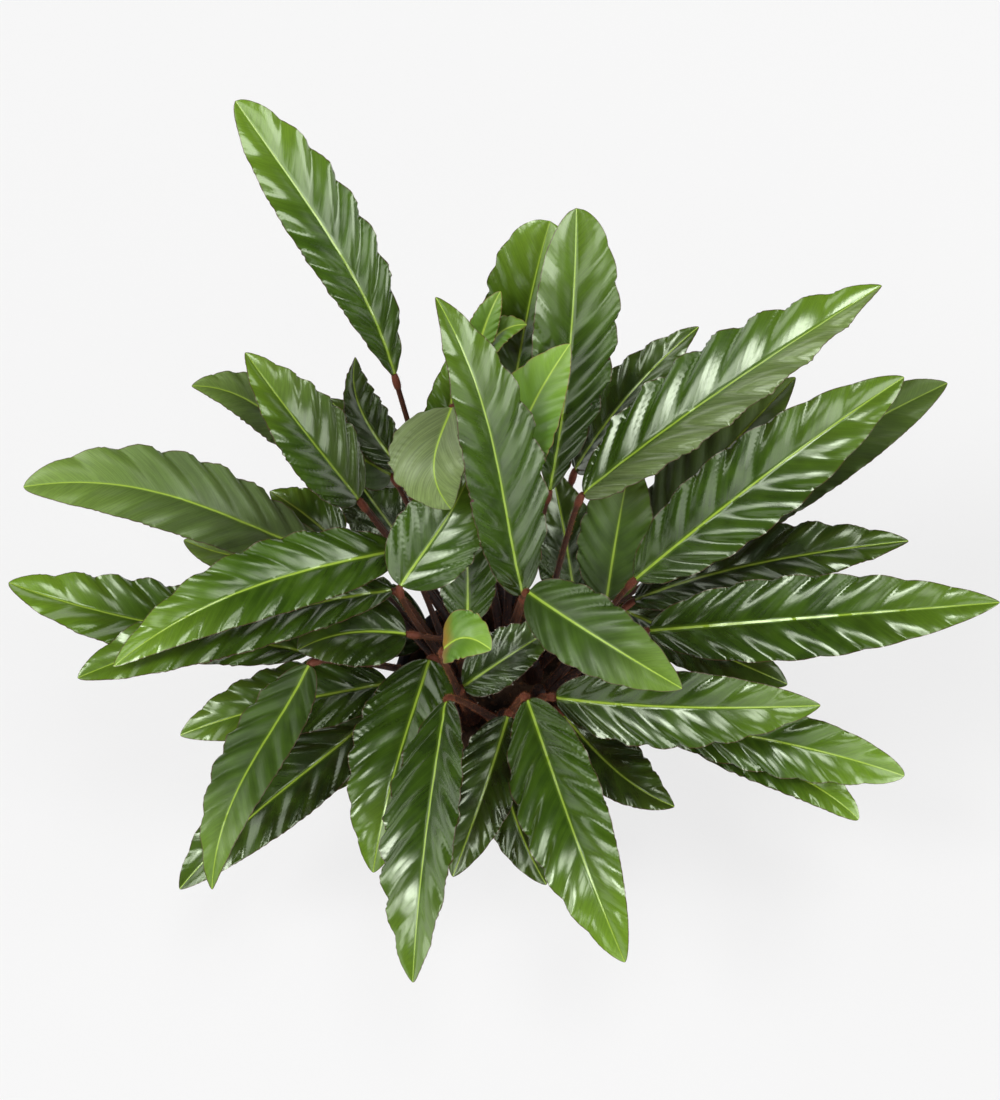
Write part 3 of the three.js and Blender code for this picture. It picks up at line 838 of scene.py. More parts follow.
# Looks by leaf: the dark ones carry painted shade, the bright and pale ones painted sheen, on top of their own
# green
LOOKS: dict[Look, tuple[str, ...]] = {
    Look.DARK: ("04", "05", "06", "17", "23", "25", "30", "32", "33", "38", "41", "48", "49", "53", "55"),
    Look.BRIGHT: ("01", "03", "09", "14", "19", "28", "29", "31", "43", "45", "47"),
    Look.PLAIN: ("07", "26", "36", "54"),
    Look.OLIVE: ("20", "22"),
    Look.SOFT: ("02", "42", "44"),
    Look.PALE: ("08",),
}
DULL_LOOKS = (Look.PLAIN, Look.OLIVE, Look.SOFT, Look.PALE)
# Leaves with painted sheen, a pale grey-green, on their right half alone, and leaves flushed orange at the foot
SHEEN_HALVES: dict[str, float] = {"19": 0.5, "03": 0.15}
BLUSHES: dict[str, float] = {"40": 0.8}


# How round the outline is, and half the blade's width at its foot and tip in millimetres
FULLNESS = 1.4
FOOT_HALF = 2
TIP_HALF = 0.5


def unit(vectors: Array) -> Array:
    """Vectors scaled to length 1."""
    return vectors / np.linalg.norm(vectors, axis=-1, keepdims=True)


@dataclass(frozen=True)
class Spine:
    """Points of a blade's midrib with the directions along it, to its right and out of its face."""

    point: Array
    along: Array
    right: Array
    out: Array


@dataclass(frozen=True)
class Leaf:
    """One leaf of the list, in millimetres and degrees."""

    number: str
    clump: str
    foot: tuple[float, float, float]
    heading: float
    pitch: float
    length: float
    width: float
    arch: float
    bow: float
    roll: float
    late: float
    widest: float

    @property
    def young(self) -> bool:
        """Whether it is a new yellow-green leaf."""
        return self.number in YOUNG_LEAVES

    @property
    def look(self) -> Look:
        """How light, pale and matte it is."""
        return next((look for look, numbers in LOOKS.items() if self.number in numbers), Look.MIDDLE)

    def spine(self, t: Array) -> Spine:
        """The midrib at these parts of the way from foot to tip.

        Args:
            t: parts of the way, from 0 to 1.

        Returns:
            Points in millimetres and their directions.
        """
        heading, pitch, roll = (math.radians(v) for v in (self.heading, self.pitch, self.roll))
        level = math.cos(pitch)
        chord = np.array([level * math.cos(heading), level * math.sin(heading), math.sin(pitch)])
        face = unit(np.array([0.0, 0.0, 1.0]) - chord * chord[2])
        face = face * math.cos(roll) + np.cross(chord, face) * math.sin(roll)
        side = np.cross(chord, face)
        bend = face * self.arch + side * self.bow
        skew = 1 + self.late * (2 * t - 1)
        lift = 4 * t * (1 - t) * skew
        slope = (4 - 8 * t) * skew + 8 * t * (1 - t) * self.late
        point = np.array(self.foot) + np.outer(t * self.length, chord) + np.outer(lift, bend)
        along = unit(chord * self.length + np.outer(slope, bend))
        right = unit(np.cross(along, face))
        return Spine(point, along, right, np.cross(right, along))

    def half_width(self, t: Array) -> Array:
        """Half the blade's width in millimetres at these parts of the way."""
        rise = FULLNESS * self.widest
        fall = FULLNESS * (1 - self.widest)
        peak = self.widest**rise * (1 - self.widest) ** fall
        return self.width / 2 * t**rise * (1 - t) ** fall / peak + FOOT_HALF * (1 - t) + TIP_HALF * t


LEAVES = [Leaf(*row) for row in LEAF_ROWS]


@dataclass
class LeafBlade:
    """A thin waved blade with a folded midrib, built finer over its solid."""

    leaf: Leaf
    steps: int = 132
    columns: int = 24
    waves: int = 8
    fold: float = 0.22
    gull: float = 0.34
    wave_height: float = 0.05
    full_wave_length: float = 4.0
    scallop: float = 0.035
    crowding: float = 0.28
    ridge_fade: float = 0.7
    ruffle: float = 1.1
    ruffle_length: float = 9.0
    ruffle_drift: tuple[float, float] = (1.3, 0.37)
    ruffle_swell: tuple[float, float] = (0.5, 0.21)
    ruffle_fade: tuple[float, float] = (1.15, 0.75)
    ruffle_phases: tuple[float, float] = (0.0, 2.1)
    half_edge: float = 6
    blush_reach: tuple[float, float] = (1.4, 4)
    thickness: float = 0.7
    rim_thickness: float = 0.3
    keel: float = 1.4
    keel_spread: float = 2.2
    crease_angle: float = 65
    vein_start: float = 1.15
    vein_turn: float = 0.3

    def stations(self) -> Array:
        """Parts of the way from foot to tip, closer together at both ends."""
        even = np.linspace(0, 1, self.steps + 1)
        return (1 - self.crowding) * even + self.crowding * (1 - np.cos(math.pi * even)) / 2

    def sways(self) -> tuple[Array, Array]:
        """The swing of the left and the right margin at each turn, as on the solid."""
        run = SeededRun(int(self.leaf.number) * 7919 + 13)
        turns = 2 * self.waves
        sides = []
        for _ in range(2):
            swing = []
            for i in range(turns + 1):
                taper = math.sqrt(abs(math.sin(math.pi * i / turns)))
                swing.append((1 if i % 2 else -1) * taper * (0.75 + 0.5 * run.draw()))
            sides.append(np.array(swing))
        return sides[0], sides[1]

    def swing(self, sways: Array, t: Array) -> Array:
        """A run of round pillows with narrow creases between them, through the margin's turns, read at t."""
        turns = 2 * self.waves
        place = np.clip(t, 0, 1) * turns
        low = np.minimum(place.astype(int), turns - 1)
        part = place - low
        rising = np.sin(math.pi / 2 * part)
        falling = 1 - np.cos(math.pi / 2 * part)
        part = np.where(low % 2 == 0, rising, falling)
        return sways[low] * (1 - part) + sways[low + 1] * part

    def vein_foot(self, t: Array, off: Array) -> Array:
        """Where on the midrib the side vein through a point starts, in millimetres from the foot."""
        leaf = self.leaf
        return t * leaf.length - off * self.vein_start - off**2 * self.vein_turn / leaf.width

    def ruffles(self, t: Array, across: Array, vein: Array) -> Array:
        """The small curls of the margin, strongest near the foot, in millimetres."""
        phase = float(self.leaf.number) * 1.7 + np.where(across < 0, *self.ruffle_phases)[None, :]
        turn = 2 * math.pi * vein / self.ruffle_length + phase
        drift, drift_rate = self.ruffle_drift
        swell, swell_rate = self.ruffle_swell
        full, fade = self.ruffle_fade
        curl = np.sin(turn + drift * np.sin(drift_rate * turn)) * (1.0 + swell * np.sin(swell_rate * turn))
        strength = self.ruffle * np.sin(math.pi * np.clip(t, 0, 1)) ** 0.5 * (full - fade * t)
        return strength[:, None] * np.abs(across)[None, :] ** 5 * curl

    def build(self) -> bpy.types.Object:
        """The blade as an object with its two faces and its rim."""
        leaf = self.leaf
        t = self.stations()
        across = np.linspace(-1, 1, self.columns + 1)
        spine = leaf.spine(t)
        half = leaf.half_width(t)
        off = np.abs(across)[None, :] * half[:, None]
        vein = self.vein_foot(t[:, None], off)
        dense = np.linspace(0, 1, 400)
        margin_vein = np.maximum.accumulate(self.vein_foot(dense, leaf.half_width(dense)))
        reached = np.interp(vein, margin_vein + dense * 1e-6, dense)
        left, right = self.sways()
        sway = np.where(across[None, :] < 0, self.swing(left, reached), self.swing(right, reached))
        ridge = np.abs(across)[None, :] ** self.ridge_fade
        reach = half[:, None] * across[None, :] * (1 + self.scallop * sway * across[None, :] ** 4)
        arm = np.abs(across) + self.gull * np.sin(math.pi * np.abs(across))
        fullness = min(1.0, leaf.length / (self.full_wave_length * leaf.width))
        wave = leaf.width * self.wave_height * fullness
        lift = half[:, None] * self.fold * arm[None, :] + wave * sway * ridge
        lift = lift + self.ruffles(t, across, vein)
        edge = 1 - np.abs(across) ** 6
        depth = self.rim_thickness + (self.thickness - self.rim_thickness) * edge[None, :]
        depth = depth + self.keel * (1 - t[:, None]) * np.exp(-((off / self.keel_spread) ** 2))
        top = spine.point[:, None] + spine.right[:, None] * reach[..., None]
        top = top + spine.out[:, None] * lift[..., None]
        under = top - spine.out[:, None] * depth[..., None]
        points = np.concatenate([top.reshape(-1, 3), under.reshape(-1, 3)]) * MM
        faces, parts = self.faces()
        piece = mesh_object(f"blade_{leaf.number}", points, faces)
        self.dress(piece, parts, t, off, half, vein)
        return piece

    def faces(self) -> tuple[list[list[int]], list[int]]:
        """The blade's faces, with the part of each: 0 for the top, 1 for the underside and the rim."""
        rows, columns = self.steps + 1, self.columns + 1
        grid = np.arange(rows * columns).reshape(rows, columns)
        low = grid + rows * columns
        a, b, c, d = grid[:-1, :-1], grid[:-1, 1:], grid[1:, 1:], grid[1:, :-1]
        top = np.stack([a, b, c, d], -1).reshape(-1, 4)
        a, b, c, d = low[:-1, :-1], low[1:, :-1], low[1:, 1:], low[:-1, 1:]
        under = np.stack([a, b, c, d], -1).reshape(-1, 4)
        rims = [
            np.stack([grid[:-1, 0], grid[1:, 0], low[1:, 0], low[:-1, 0]], -1),
            np.stack([grid[1:, -1], grid[:-1, -1], low[:-1, -1], low[1:, -1]], -1),
            np.stack([grid[0, 1:], grid[0, :-1], low[0, :-1], low[0, 1:]], -1),
            np.stack([grid[-1, :-1], grid[-1, 1:], low[-1, 1:], low[-1, :-1]], -1),
        ]
        rim = np.concatenate(rims)
        parts = [0] * len(top) + [1] * (len(under) + len(rim))
        return np.concatenate([top, under, rim]).tolist(), parts

    def dress(
        self,
        piece: bpy.types.Object,
        parts: list[int],
        t: Array,
        off: Array,
        half: Array,
        vein: Array,
    ) -> None:
        """Stores what the finish reads: the veins, the way along, and the distance off midrib and rim.

        Args:
            piece: the blade.
            parts: the part of each face.
            t: parts of the way of each row.
            off: millimetres off the midrib.
            half: half widths of each row.
            vein: where each point's side vein starts.
        """
        mesh = piece.data
        span = np.broadcast_to(t[:, None], off.shape)
        across = np.broadcast_to(np.linspace(-1, 1, self.columns + 1)[None, :], off.shape)
        tone, grey_and_sheen = self.leaf.look.value
        # painted sheen: a pale grey-green on the right half of some blades
        half_sheen = SHEEN_HALVES.get(self.leaf.number, 0.0) * np.clip(self.half_edge * across, 0, 1)
        full, fade = self.blush_reach
        foot_blush = BLUSHES.get(self.leaf.number, 0.0) * np.clip(full - fade * span, 0, 1)
        for name, values in (
            ("along", span),
            ("off_rib", off * MM),
            ("off_rim", (half[:, None] - off) * MM),
            ("vein", vein * MM),
            ("across", across),
            ("tone", np.full(off.shape, tone)),
            ("grey_and_sheen", grey_and_sheen + half_sheen),
            ("blush", foot_blush),
            ("leaf_seed", np.full(off.shape, float(self.leaf.number) * 3.7)),
        ):
            carry(mesh, name, np.concatenate([values.ravel(), values.ravel()]))
        chart = mesh.uv_layers.new(name="blade")
        corners = np.empty(len(mesh.loops), np.int32)
        mesh.loops.foreach_get("vertex_index", corners)
        u = np.concatenate([(0.25 + 0.2 * across).ravel(), (0.75 + 0.2 * across).ravel()])
        v = np.concatenate([(0.05 + 0.9 * span).ravel(), (0.05 + 0.9 * span).ravel()])
        chart.data.foreach_set("uv", np.stack([u[corners], v[corners]], -1).astype(np.float32).ravel())
        mesh.polygons.foreach_set("material_index", np.array(parts, np.int32))
        mesh.shade_smooth()
        mesh.set_sharp_from_angle(angle=math.radians(self.crease_angle))


@dataclass
class Foliage:
    """All the blades of the plant."""

    leaves: Sequence[Leaf] = field(default_factory=lambda: LEAVES)

    def build(self) -> None:
        """Builds each blade and puts it in its solid's place."""
        mature, dull, young, under = (kind.material() for kind in (MATURE, DULL, YOUNG, UNDERSIDE))
        for leaf in self.leaves:
            piece = LeafBlade(leaf).build()
            face = dull if leaf.look in DULL_LOOKS else mature
            piece.data.materials.append(young if leaf.young else face)
            piece.data.materials.append(under)
            settle(piece, "young_leaf" if leaf.young else "leaf", f"leaf_{leaf.number}")


# ---------------------------------------------------------------------------
# Stems
# ---------------------------------------------------------------------------


@dataclass
class Stalk:
    """The path of one stalk from its collar to its blade, with its thickness on the way."""

    leaf: Leaf
    start_height: float = 138
    lean: float = 0.2
    rise: float = 0.26
    straight: float = 12
    gap: float = 0.3
    cushion: float = 13
    points: int = 44
    cushion_points: int = 12
    girth: tuple = ((0, 4.4), (0.25, 3.4), (0.6, 2.2))
    neck: float = 2.05
    swelling: float = 0.95
    flare: float = 0.15

    def path(self) -> tuple[Array, Array, Array, Array]:
        """Points in millimetres with the thickness, the way up and the swelling at each."""
        x, y = CLUMPS[self.leaf.clump]
        spine = self.leaf.spine(np.array([0.0]))
        start = np.array([x, y, self.start_height], float)
        end = spine.point[0] - spine.along[0] * self.gap
        span = np.linalg.norm(end - start)
        outward = (end - start) * np.array([1, 1, 0]) * self.lean
        first = start + outward + np.array([0, 0, span * self.rise])
        last = end - spine.along[0] * self.straight
        s = np.linspace(0, 1, 200)[:, None]
        curve = (1 - s) ** 3 * start + 3 * (1 - s) ** 2 * s * first + 3 * (1 - s) * s**2 * last + s**3 * end
        lengths = np.concatenate([[0], np.cumsum(np.linalg.norm(np.diff(curve, axis=0), axis=1))])
        way = lengths / lengths[-1]
        part = self.cushion / lengths[-1]
        even = np.linspace(0, 1 - part, self.points - self.cushion_points, endpoint=False)
        stops = np.concatenate([even, np.linspace(1 - part, 1, self.cushion_points)])
        place = np.stack([np.interp(stops, way, curve[:, k]) for k in range(3)], -1)
        rings = [ring for ring in self.girth if ring[0] < 1 - 1.2 * part] + [(1 - part, self.neck)]
        thick = np.interp(stops, [r[0] for r in rings], [r[1] for r in rings])
        swell = np.clip((stops - (1 - part)) / part, 0, 1)
        swollen = np.sin(math.pi * swell**0.85) ** 0.8
        thick = thick + swollen * self.swelling + swell * self.flare
        return place, thick, stops, np.where(swell > 0, np.clip(swell * 4, 0, 1), 0)


@dataclass
class StemClump:
    """A root collar with its stalks, their cushions and their down."""

    name: str
    foot: float = 111
    shoulder: float = 142
    head: float = 161
    body_radius: float = 8.9
    neck_radius: float = 4.9
    sheaths: int = 5
    wrap: float = 0.07
    twist: float = 0.035
    rings: int = 26
    around: int = 40
    sides: int = 14
    hairs: int = 11000
    hair_length: float = 1.7 * MM
    hair_radius: float = 0.055 * MM
    seed: int = 31

    def leaves(self) -> list[Leaf]:
        """The leaves that rise from this clump."""
        return [leaf for leaf in LEAVES if leaf.clump == self.name]

    def wires(self) -> bpy.types.Object:
        """The stalks' paths as loose edges that carry their thickness."""
        points, edges, thick, climb, swollen = [], [], [], [], []
        count = 0
        for leaf in self.leaves():
            place, width, way, swell = Stalk(leaf).path()
            points.append(place)
            thick.append(width)
            climb.append(way)
            swollen.append(swell)
            edges += [(count + i, count + i + 1) for i in range(len(place) - 1)]
            count += len(place)
        wire = mesh_object(f"path_{self.name}", np.concatenate(points) * MM, [], edges)
        carry(wire.data, "thick", np.concatenate(thick) * MM)
        carry(wire.data, "climb", np.concatenate(climb))
        carry(wire.data, "swollen", np.concatenate(swollen))
        return wire

    def collar(self) -> bpy.types.Object:
        """The root collar: old sheaths wrapped round each other, narrowing above the soil."""
        x, y = CLUMPS[self.name]
        rows, around = self.rings, self.around
        heights = np.linspace(self.foot, self.head, rows)
        radii = [self.body_radius, self.body_radius, self.neck_radius]
        body = np.interp(heights, [self.foot, self.shoulder, self.head], radii)
        angle = circle(around)
        twist = angle[None, :] + (heights[:, None] - self.foot) * self.twist
        wrap = 1 - self.wrap * (((twist * self.sheaths / (2 * math.pi)) % 1) ** 1.5)
        radius = body[:, None] * wrap
        ring = np.stack([radius * np.cos(angle), radius * np.sin(angle)], -1)
        points = np.concatenate([ring + np.array([x, y]), np.repeat(heights[:, None, None], around, 1)], -1)
        points = np.concatenate([points.reshape(-1, 3), [[x, y, self.foot], [x, y, self.head]]])
        faces = []
        for r in range(rows - 1):
            faces += ring_quads(r * around, (r + 1) * around, around)
        low, high = rows * around, rows * around + 1
        last = (rows - 1) * around
        for s in range(around):
            n = (s + 1) % around
            faces.append([low, n, s])
            faces.append([high, last + s, last + n])
        piece = mesh_object(f"collar_{self.name}", points * MM, faces)
        carry(piece.data, "climb", np.zeros(len(points)))
        carry(piece.data, "swollen", np.zeros(len(points)))
        piece.data.shade_smooth()
        return piece

    def build(
        self,
        tubes: GeometryTree,
        down: GeometryTree,
        stalk: bpy.types.Material,
        hair: bpy.types.Material,
    ) -> None:
        """Builds the clump and its down.

        Args:
            tubes: the tree that sweeps the stalks.
            down: the tree that grows the hairs.
            stalk: the stalks' material.
            hair: the hairs' material.
        """
        wire = self.wires()
        swept = tubes.grow(wire, f"swept_{self.name}", {"Sides": self.sides, "Finish": stalk})
        collar = self.collar()
        collar.data.materials.append(stalk)
        clump = joined([swept, collar], f"clump_{self.name}")
        knobs = {
            "Density": self.hairs,
            "Length": self.hair_length,
            "Radius": self.hair_radius,
            "Seed": self.seed,
            "Finish": hair,
        }
        fuzz = down.grow(clump, f"down_{self.name}", knobs)
        discard(wire)
        settle(clump, "stem", f"stems_{self.name}")
        settle(fuzz, "stem")


def joined(pieces: list[bpy.types.Object], name: str) -> bpy.types.Object:
    """Makes one object of several.

    Args:
        pieces: the objects, which go into the first.
        name: the result's name.

    Returns:
        The joined object.
    """
    with bpy.context.temp_override(active_object=pieces[0], selected_editable_objects=pieces):
        bpy.ops.object.join()
    pieces[0].name = name
    pieces[0].data.name = name
    return pieces[0]


def tube_tree() -> GeometryTree:
    """The tree that sweeps a round stalk along each path, as thick as the path says."""
    tree = GeometryTree("Stalk tubes")
    sides = tree.knob("Sides", "Int")
    finish = tree.knob("Finish", "Material")
    path = tree.node("GeometryNodeMeshToCurve", {"Mesh": tree.inlet.outputs[0]})
    ring = tree.node("GeometryNodeCurvePrimitiveCircle", {"Resolution": sides, "Radius": 1.0})
    sweep = {
        "Curve": path.outputs[0],
        "Profile Curve": ring.outputs[0],
        "Scale": tree.stored("thick"),
        "Fill Caps": True,
    }
    swept = tree.node("GeometryNodeCurveToMesh", sweep)
    smooth = tree.node("GeometryNodeSetShadeSmooth", {"Geometry": swept.outputs[0], "Shade Smooth": True})
    tree.close(smooth.outputs[0], finish)
    return tree


# How far hairs lean off upright in radians, and their least and greatest share of the full length
HAIR_TILT = 0.7
HAIR_SIZES = (0.5, 1.2)


def down_tree() -> GeometryTree:
    """The tree that grows short hairs out of the stalks."""
    tree = GeometryTree("Stalk down")
    density = tree.knob("Density", "Float")
    length = tree.knob("Length", "Float")
    radius = tree.knob("Radius", "Float")
    seed = tree.knob("Seed", "Int")
    finish = tree.knob("Finish", "Material")
    dots = tree.strewn(density, seed)
    hair = tree.node(
        "GeometryNodeMeshCone",
        {"Vertices": 3, "Radius Top": 0.0, "Radius Bottom": radius, "Depth": length},
        fill_type="NONE",
    )
    tilt = tree.drawn(seed, (-HAIR_TILT,) * 3, (HAIR_TILT,) * 3)
    lean = tree.node("FunctionNodeRotateEuler", {}, rotation_type="EULER", space="OBJECT")
    facing = tree.node("FunctionNodeRotationToEuler", {})
    tree.tree.links.new(dots.outputs["Rotation"], facing.inputs[0])
    tree.tree.links.new(facing.outputs[0], lean.inputs[0])
    tree.tree.links.new(tilt, lean.inputs[1])
    size = tree.node("FunctionNodeRandomValue", {"Seed": seed}, data_type="FLOAT")
    size.inputs[2].default_value, size.inputs[3].default_value = HAIR_SIZES
    placed = tree.node(
        "GeometryNodeInstanceOnPoints",
        {"Points": dots.outputs[0], "Instance": hair.outputs[0]},
    )
    tree.tree.links.new(lean.outputs[0], placed.inputs["Rotation"])
    tree.tree.links.new(size.outputs[1], placed.inputs["Scale"])
    tree.close(placed.outputs[0], finish)
    return tree


@dataclass
class Stems:
    """The seven stem clumps."""

    names: Sequence[str] = tuple(CLUMPS)

    def build(self) -> None:
        """Builds each clump."""
        tubes, down = tube_tree(), down_tree()
        stalk, hair = StalkFinish().material(), DownFinish().material()
        for name in self.names:
            StemClump(name).build(tubes, down, stalk, hair)


# ---------------------------------------------------------------------------
# Pot and soil
# ---------------------------------------------------------------------------


@dataclass
class NurseryPot:
    """A plain round moulded pot with a rim band and drain holes."""

    height: float = 150
    rim: float = 85
    base: float = 60
    wall: float = 2.2
    floor: float = 3
    band: float = 17
    step: float = 2.4
    overhang: float = 0.6
    lip: float = 1.4
    around: int = 120
    drains: int = 6
    drain_radius: float = 5
    drain_circle: float = 42
    drain_sides: int = 32
    crease_angle: float = 40

    def inner(self, height: float) -> float:
        """The radius of the inner face, which widens up to the band."""
        foot = self.height - self.band
        return self.base + (self.rim - self.step - self.base) / foot * min(height, foot) - self.wall

    def profile(self) -> list[tuple[float, float]]:
        """Radius and height, from the middle of the underside round to the middle of the floor."""
        foot = self.height - self.band
        side = self.rim - self.overhang
        return [
            (0, 0),
            (self.base - 9, 0),
            (self.base - 8, 0.8),
            (self.base - 4.5, 0.8),
            (self.base - 3.5, 0),
            (self.base - 1.2, 0.3),
            (self.base - 0.2, 1.2),
            (self.base, 2.5),
            (self.rim - self.step, foot - self.step),
            (self.rim - self.step + 0.9, foot - 1.9),
            (side - 0.5, foot - 0.6),
            (side, foot + 0.6),
            (side, self.height - 3.0),
            (self.rim - 0.1, self.height - 2.2),
            (self.rim, self.height - 1.2),
            (self.rim - 0.3, self.height - 0.3),
            (side - 0.6, self.height),
            (self.inner(self.height) + 1.2, self.height),
            (self.inner(self.height) + 0.3, self.height - 0.5),
            (self.inner(self.height), self.height - self.lip),
            (self.inner(foot), foot),
            (self.inner(self.floor) + 0.4, self.floor + 3),
            (self.inner(self.floor) - 2.4, self.floor),
            (0, self.floor),
        ]

    def build(self) -> None:
        """Turns the profile, cuts the drain holes and puts the pot in its solid's place."""
        outline = self.profile()
        points = [(0, 0, outline[0][1])]
        for radius, height in outline[1:-1]:
            points += [(radius * math.cos(a), radius * math.sin(a), height) for a in circle(self.around)]
        points.append((0, 0, outline[-1][1]))
        faces = []
        for s in range(self.around):
            n = (s + 1) % self.around
            faces.append([0, 1 + n, 1 + s])
            for r in range(len(outline) - 3):
                a, b = 1 + r * self.around, 1 + (r + 1) * self.around
                faces.append([a + s, a + n, b + n, b + s])
            last = 1 + (len(outline) - 3) * self.around
            faces.append([last + s, last + n, len(points) - 1])
        turned = mesh_object("pot_turned", np.array(points) * MM, faces)
        cutters = [self.drain(i) for i in range(self.drains)]
        for cutter in cutters:
            cut = turned.modifiers.new("drain", "BOOLEAN")
            cut.operation = "DIFFERENCE"
            cut.object = cutter
            cut.solver = "EXACT"
        pot = frozen(turned, "nursery_pot")
        for helper in [turned, *cutters]:
            discard(helper)
        pot.data.materials.append(PotFinish().material())
        pot.data.shade_smooth()
        pot.data.set_sharp_from_angle(angle=math.radians(self.crease_angle))
        settle(pot, "pot", "pot")

    def drain(self, index: int) -> bpy.types.Object:
        """The body that cuts one drain hole."""
        turn = 2 * math.pi * index / self.drains
        centre = self.drain_circle * np.array([math.cos(turn), math.sin(turn)])
        sides = self.drain_sides
        angle = circle(sides)
        ring = centre + self.drain_radius * np.stack([np.cos(angle), np.sin(angle)], -1)
        points = [(x, y, level) for level in (-2 * self.floor, 3 * self.floor) for x, y in ring]
        faces = [list(range(sides))[::-1], list(range(sides, 2 * sides)), *ring_quads(0, sides, sides)]
        return mesh_object(f"drain_{index}", np.array(points) * MM, faces)


# The solid pot has this many sides, so the soil keeps within them
SOLID_POT_SIDES = 30


@dataclass
class SoilBed:
    """The potting soil: an uneven face with crumbs, bark and a few white grains."""

    top: float = 137
    relief: float = 1.6
    rings: int = 46
    sectors: int = 120
    crumbs: int = 1500
    grains: int = 90
    seed: int = 7
    play: float = 0.3
    foot_inset: float = 3.2
    edge: float = 3
    crease_angle: float = 50

    def build(self) -> None:
        """Builds the soil and what lies loose on it."""
        pot = NurseryPot()
        rim = pot.inner(self.top) * math.cos(math.pi / SOLID_POT_SIDES) - self.play
        soil = self.body(pot, rim)
        peat = SoilFinish("soil_peat", srgb("#4a382a"), srgb("#1d1611")).material()
        bark = SoilFinish("soil_bark", srgb("#6a4a30"), srgb("#35241a")).material()
        white = SoilFinish("soil_grain", srgb("#d8d4c8"), srgb("#b0a898")).material()
        soil.data.materials.append(peat)
        tree = crumb_tree()
        face = self.face(rim)
        loose = [
            ("soil_crumbs", {"Count": self.crumbs, "Size": 1.5 * MM, "Seed": self.seed, "Finish": peat}),
            ("soil_bits", {"Count": self.crumbs // 4, "Size": 2.2 * MM, "Seed": self.seed + 1, "Finish": bark}),
            ("soil_grains", {"Count": self.grains, "Size": 1.3 * MM, "Seed": self.seed + 2, "Finish": white}),
        ]
        settle(soil, "soil", "soil")
        for name, knobs in loose:
            settle(tree.grow(face, name, knobs), "soil")
        discard(face)

    def height(self, x: Array, y: Array) -> Array:
        """The level of the soil's face, in millimetres."""
        swell = np.sin(x * 0.11 + 1.3) * np.cos(y * 0.09 - 0.4) + 0.6 * np.sin(x * 0.23 - y * 0.19)
        grain = 0.5 * np.sin(x * 0.71 + y * 0.53) * np.sin(y * 0.83 - x * 0.31)
        return self.top - self.relief + 0.6 * self.relief * (swell * 0.5 + grain * 0.6)

    def face(self, rim: float) -> bpy.types.Object:
        """A disc that the loose bits are strewn over."""
        points, faces = self.disc(rim - self.edge)
        return mesh_object("soil_face", points * MM, faces)

    def disc(self, rim: float) -> tuple[Array, list[list[int]]]:
        """The soil's uneven round face, as points and faces."""
        angle = circle(self.sectors)
        radius = np.linspace(0, rim, self.rings + 1)[1:]
        x = np.concatenate([[0], np.outer(radius, np.cos(angle)).ravel()])
        y = np.concatenate([[0], np.outer(radius, np.sin(angle)).ravel()])
        points = np.stack([x, y, self.height(x, y)], -1)
        faces = [[0, 1 + s, 1 + (s + 1) % self.sectors] for s in range(self.sectors)]
        for r in range(self.rings - 1):
            first = 1 + r * self.sectors
            faces += ring_quads(first, first + self.sectors, self.sectors, flip=True)
        return points, faces

    def body(self, pot: NurseryPot, rim: float) -> bpy.types.Object:
        """The soil as a closed body that fills the pot."""
        points, faces = self.disc(rim)
        last = 1 + (self.rings - 1) * self.sectors
        angle = circle(self.sectors)
        foot = pot.floor + self.play
        low = pot.inner(foot) * math.cos(math.pi / SOLID_POT_SIDES) - self.foot_inset
        ring = np.stack([low * np.cos(angle), low * np.sin(angle), np.full(self.sectors, foot)], -1)
        start = len(points)
        points = np.concatenate([points, ring, [[0, 0, foot]]])
        faces += ring_quads(last, start, self.sectors, flip=True)
        centre = start + self.sectors
        faces += [[centre, start + (s + 1) % self.sectors, start + s] for s in range(self.sectors)]
        piece = mesh_object("soil_bed", points * MM, faces)
        piece.data.shade_smooth()
        piece.data.set_sharp_from_angle(angle=math.radians(self.crease_angle))
        return piece


# How far crumbs turn in radians, and the least and greatest share of their size each way
FULL_TURN = 6.2
CRUMB_LEAST = (0.35, 0.5, 0.3)
CRUMB_MOST = (1.3, 1.1, 0.8)


def crumb_tree() -> GeometryTree:
    """The tree that strews rough crumbs over a face."""
    tree = GeometryTree("Crumbs")
    count = tree.knob("Count", "Float")
    size = tree.knob("Size", "Float")
    seed = tree.knob("Seed", "Int")
    finish = tree.knob("Finish", "Material")
    dots = tree.strewn(count, seed)
    crumb = tree.node("GeometryNodeMeshIcoSphere", {"Radius": size, "Subdivisions": 1})
    turn = tree.drawn(seed, (0.0,) * 3, (FULL_TURN,) * 3)
    shape = tree.drawn(seed, CRUMB_LEAST, CRUMB_MOST)
    placed = tree.node(
        "GeometryNodeInstanceOnPoints",
        {"Points": dots.outputs[0], "Instance": crumb.outputs[0]},
    )
    tree.tree.links.new(turn, placed.inputs["Rotation"])
    tree.tree.links.new(shape, placed.inputs["Scale"])
    tree.close(placed.outputs[0], finish)
    return tree


# ---------------------------------------------------------------------------
# Studio
# ---------------------------------------------------------------------------


@dataclass(frozen=True)
class Softbox:
    """A far soft lamp, which lights the whole floor evenly."""

    name: str
    towards: tuple[float, float, float]
    spread: float
    glow: float

    @property
    def power(self) -> float:
        """The light that reaches the plant, from how wide the lamp looks and how bright it is."""
        return self.glow * math.pi * math.radians(self.spread / 2) ** 2


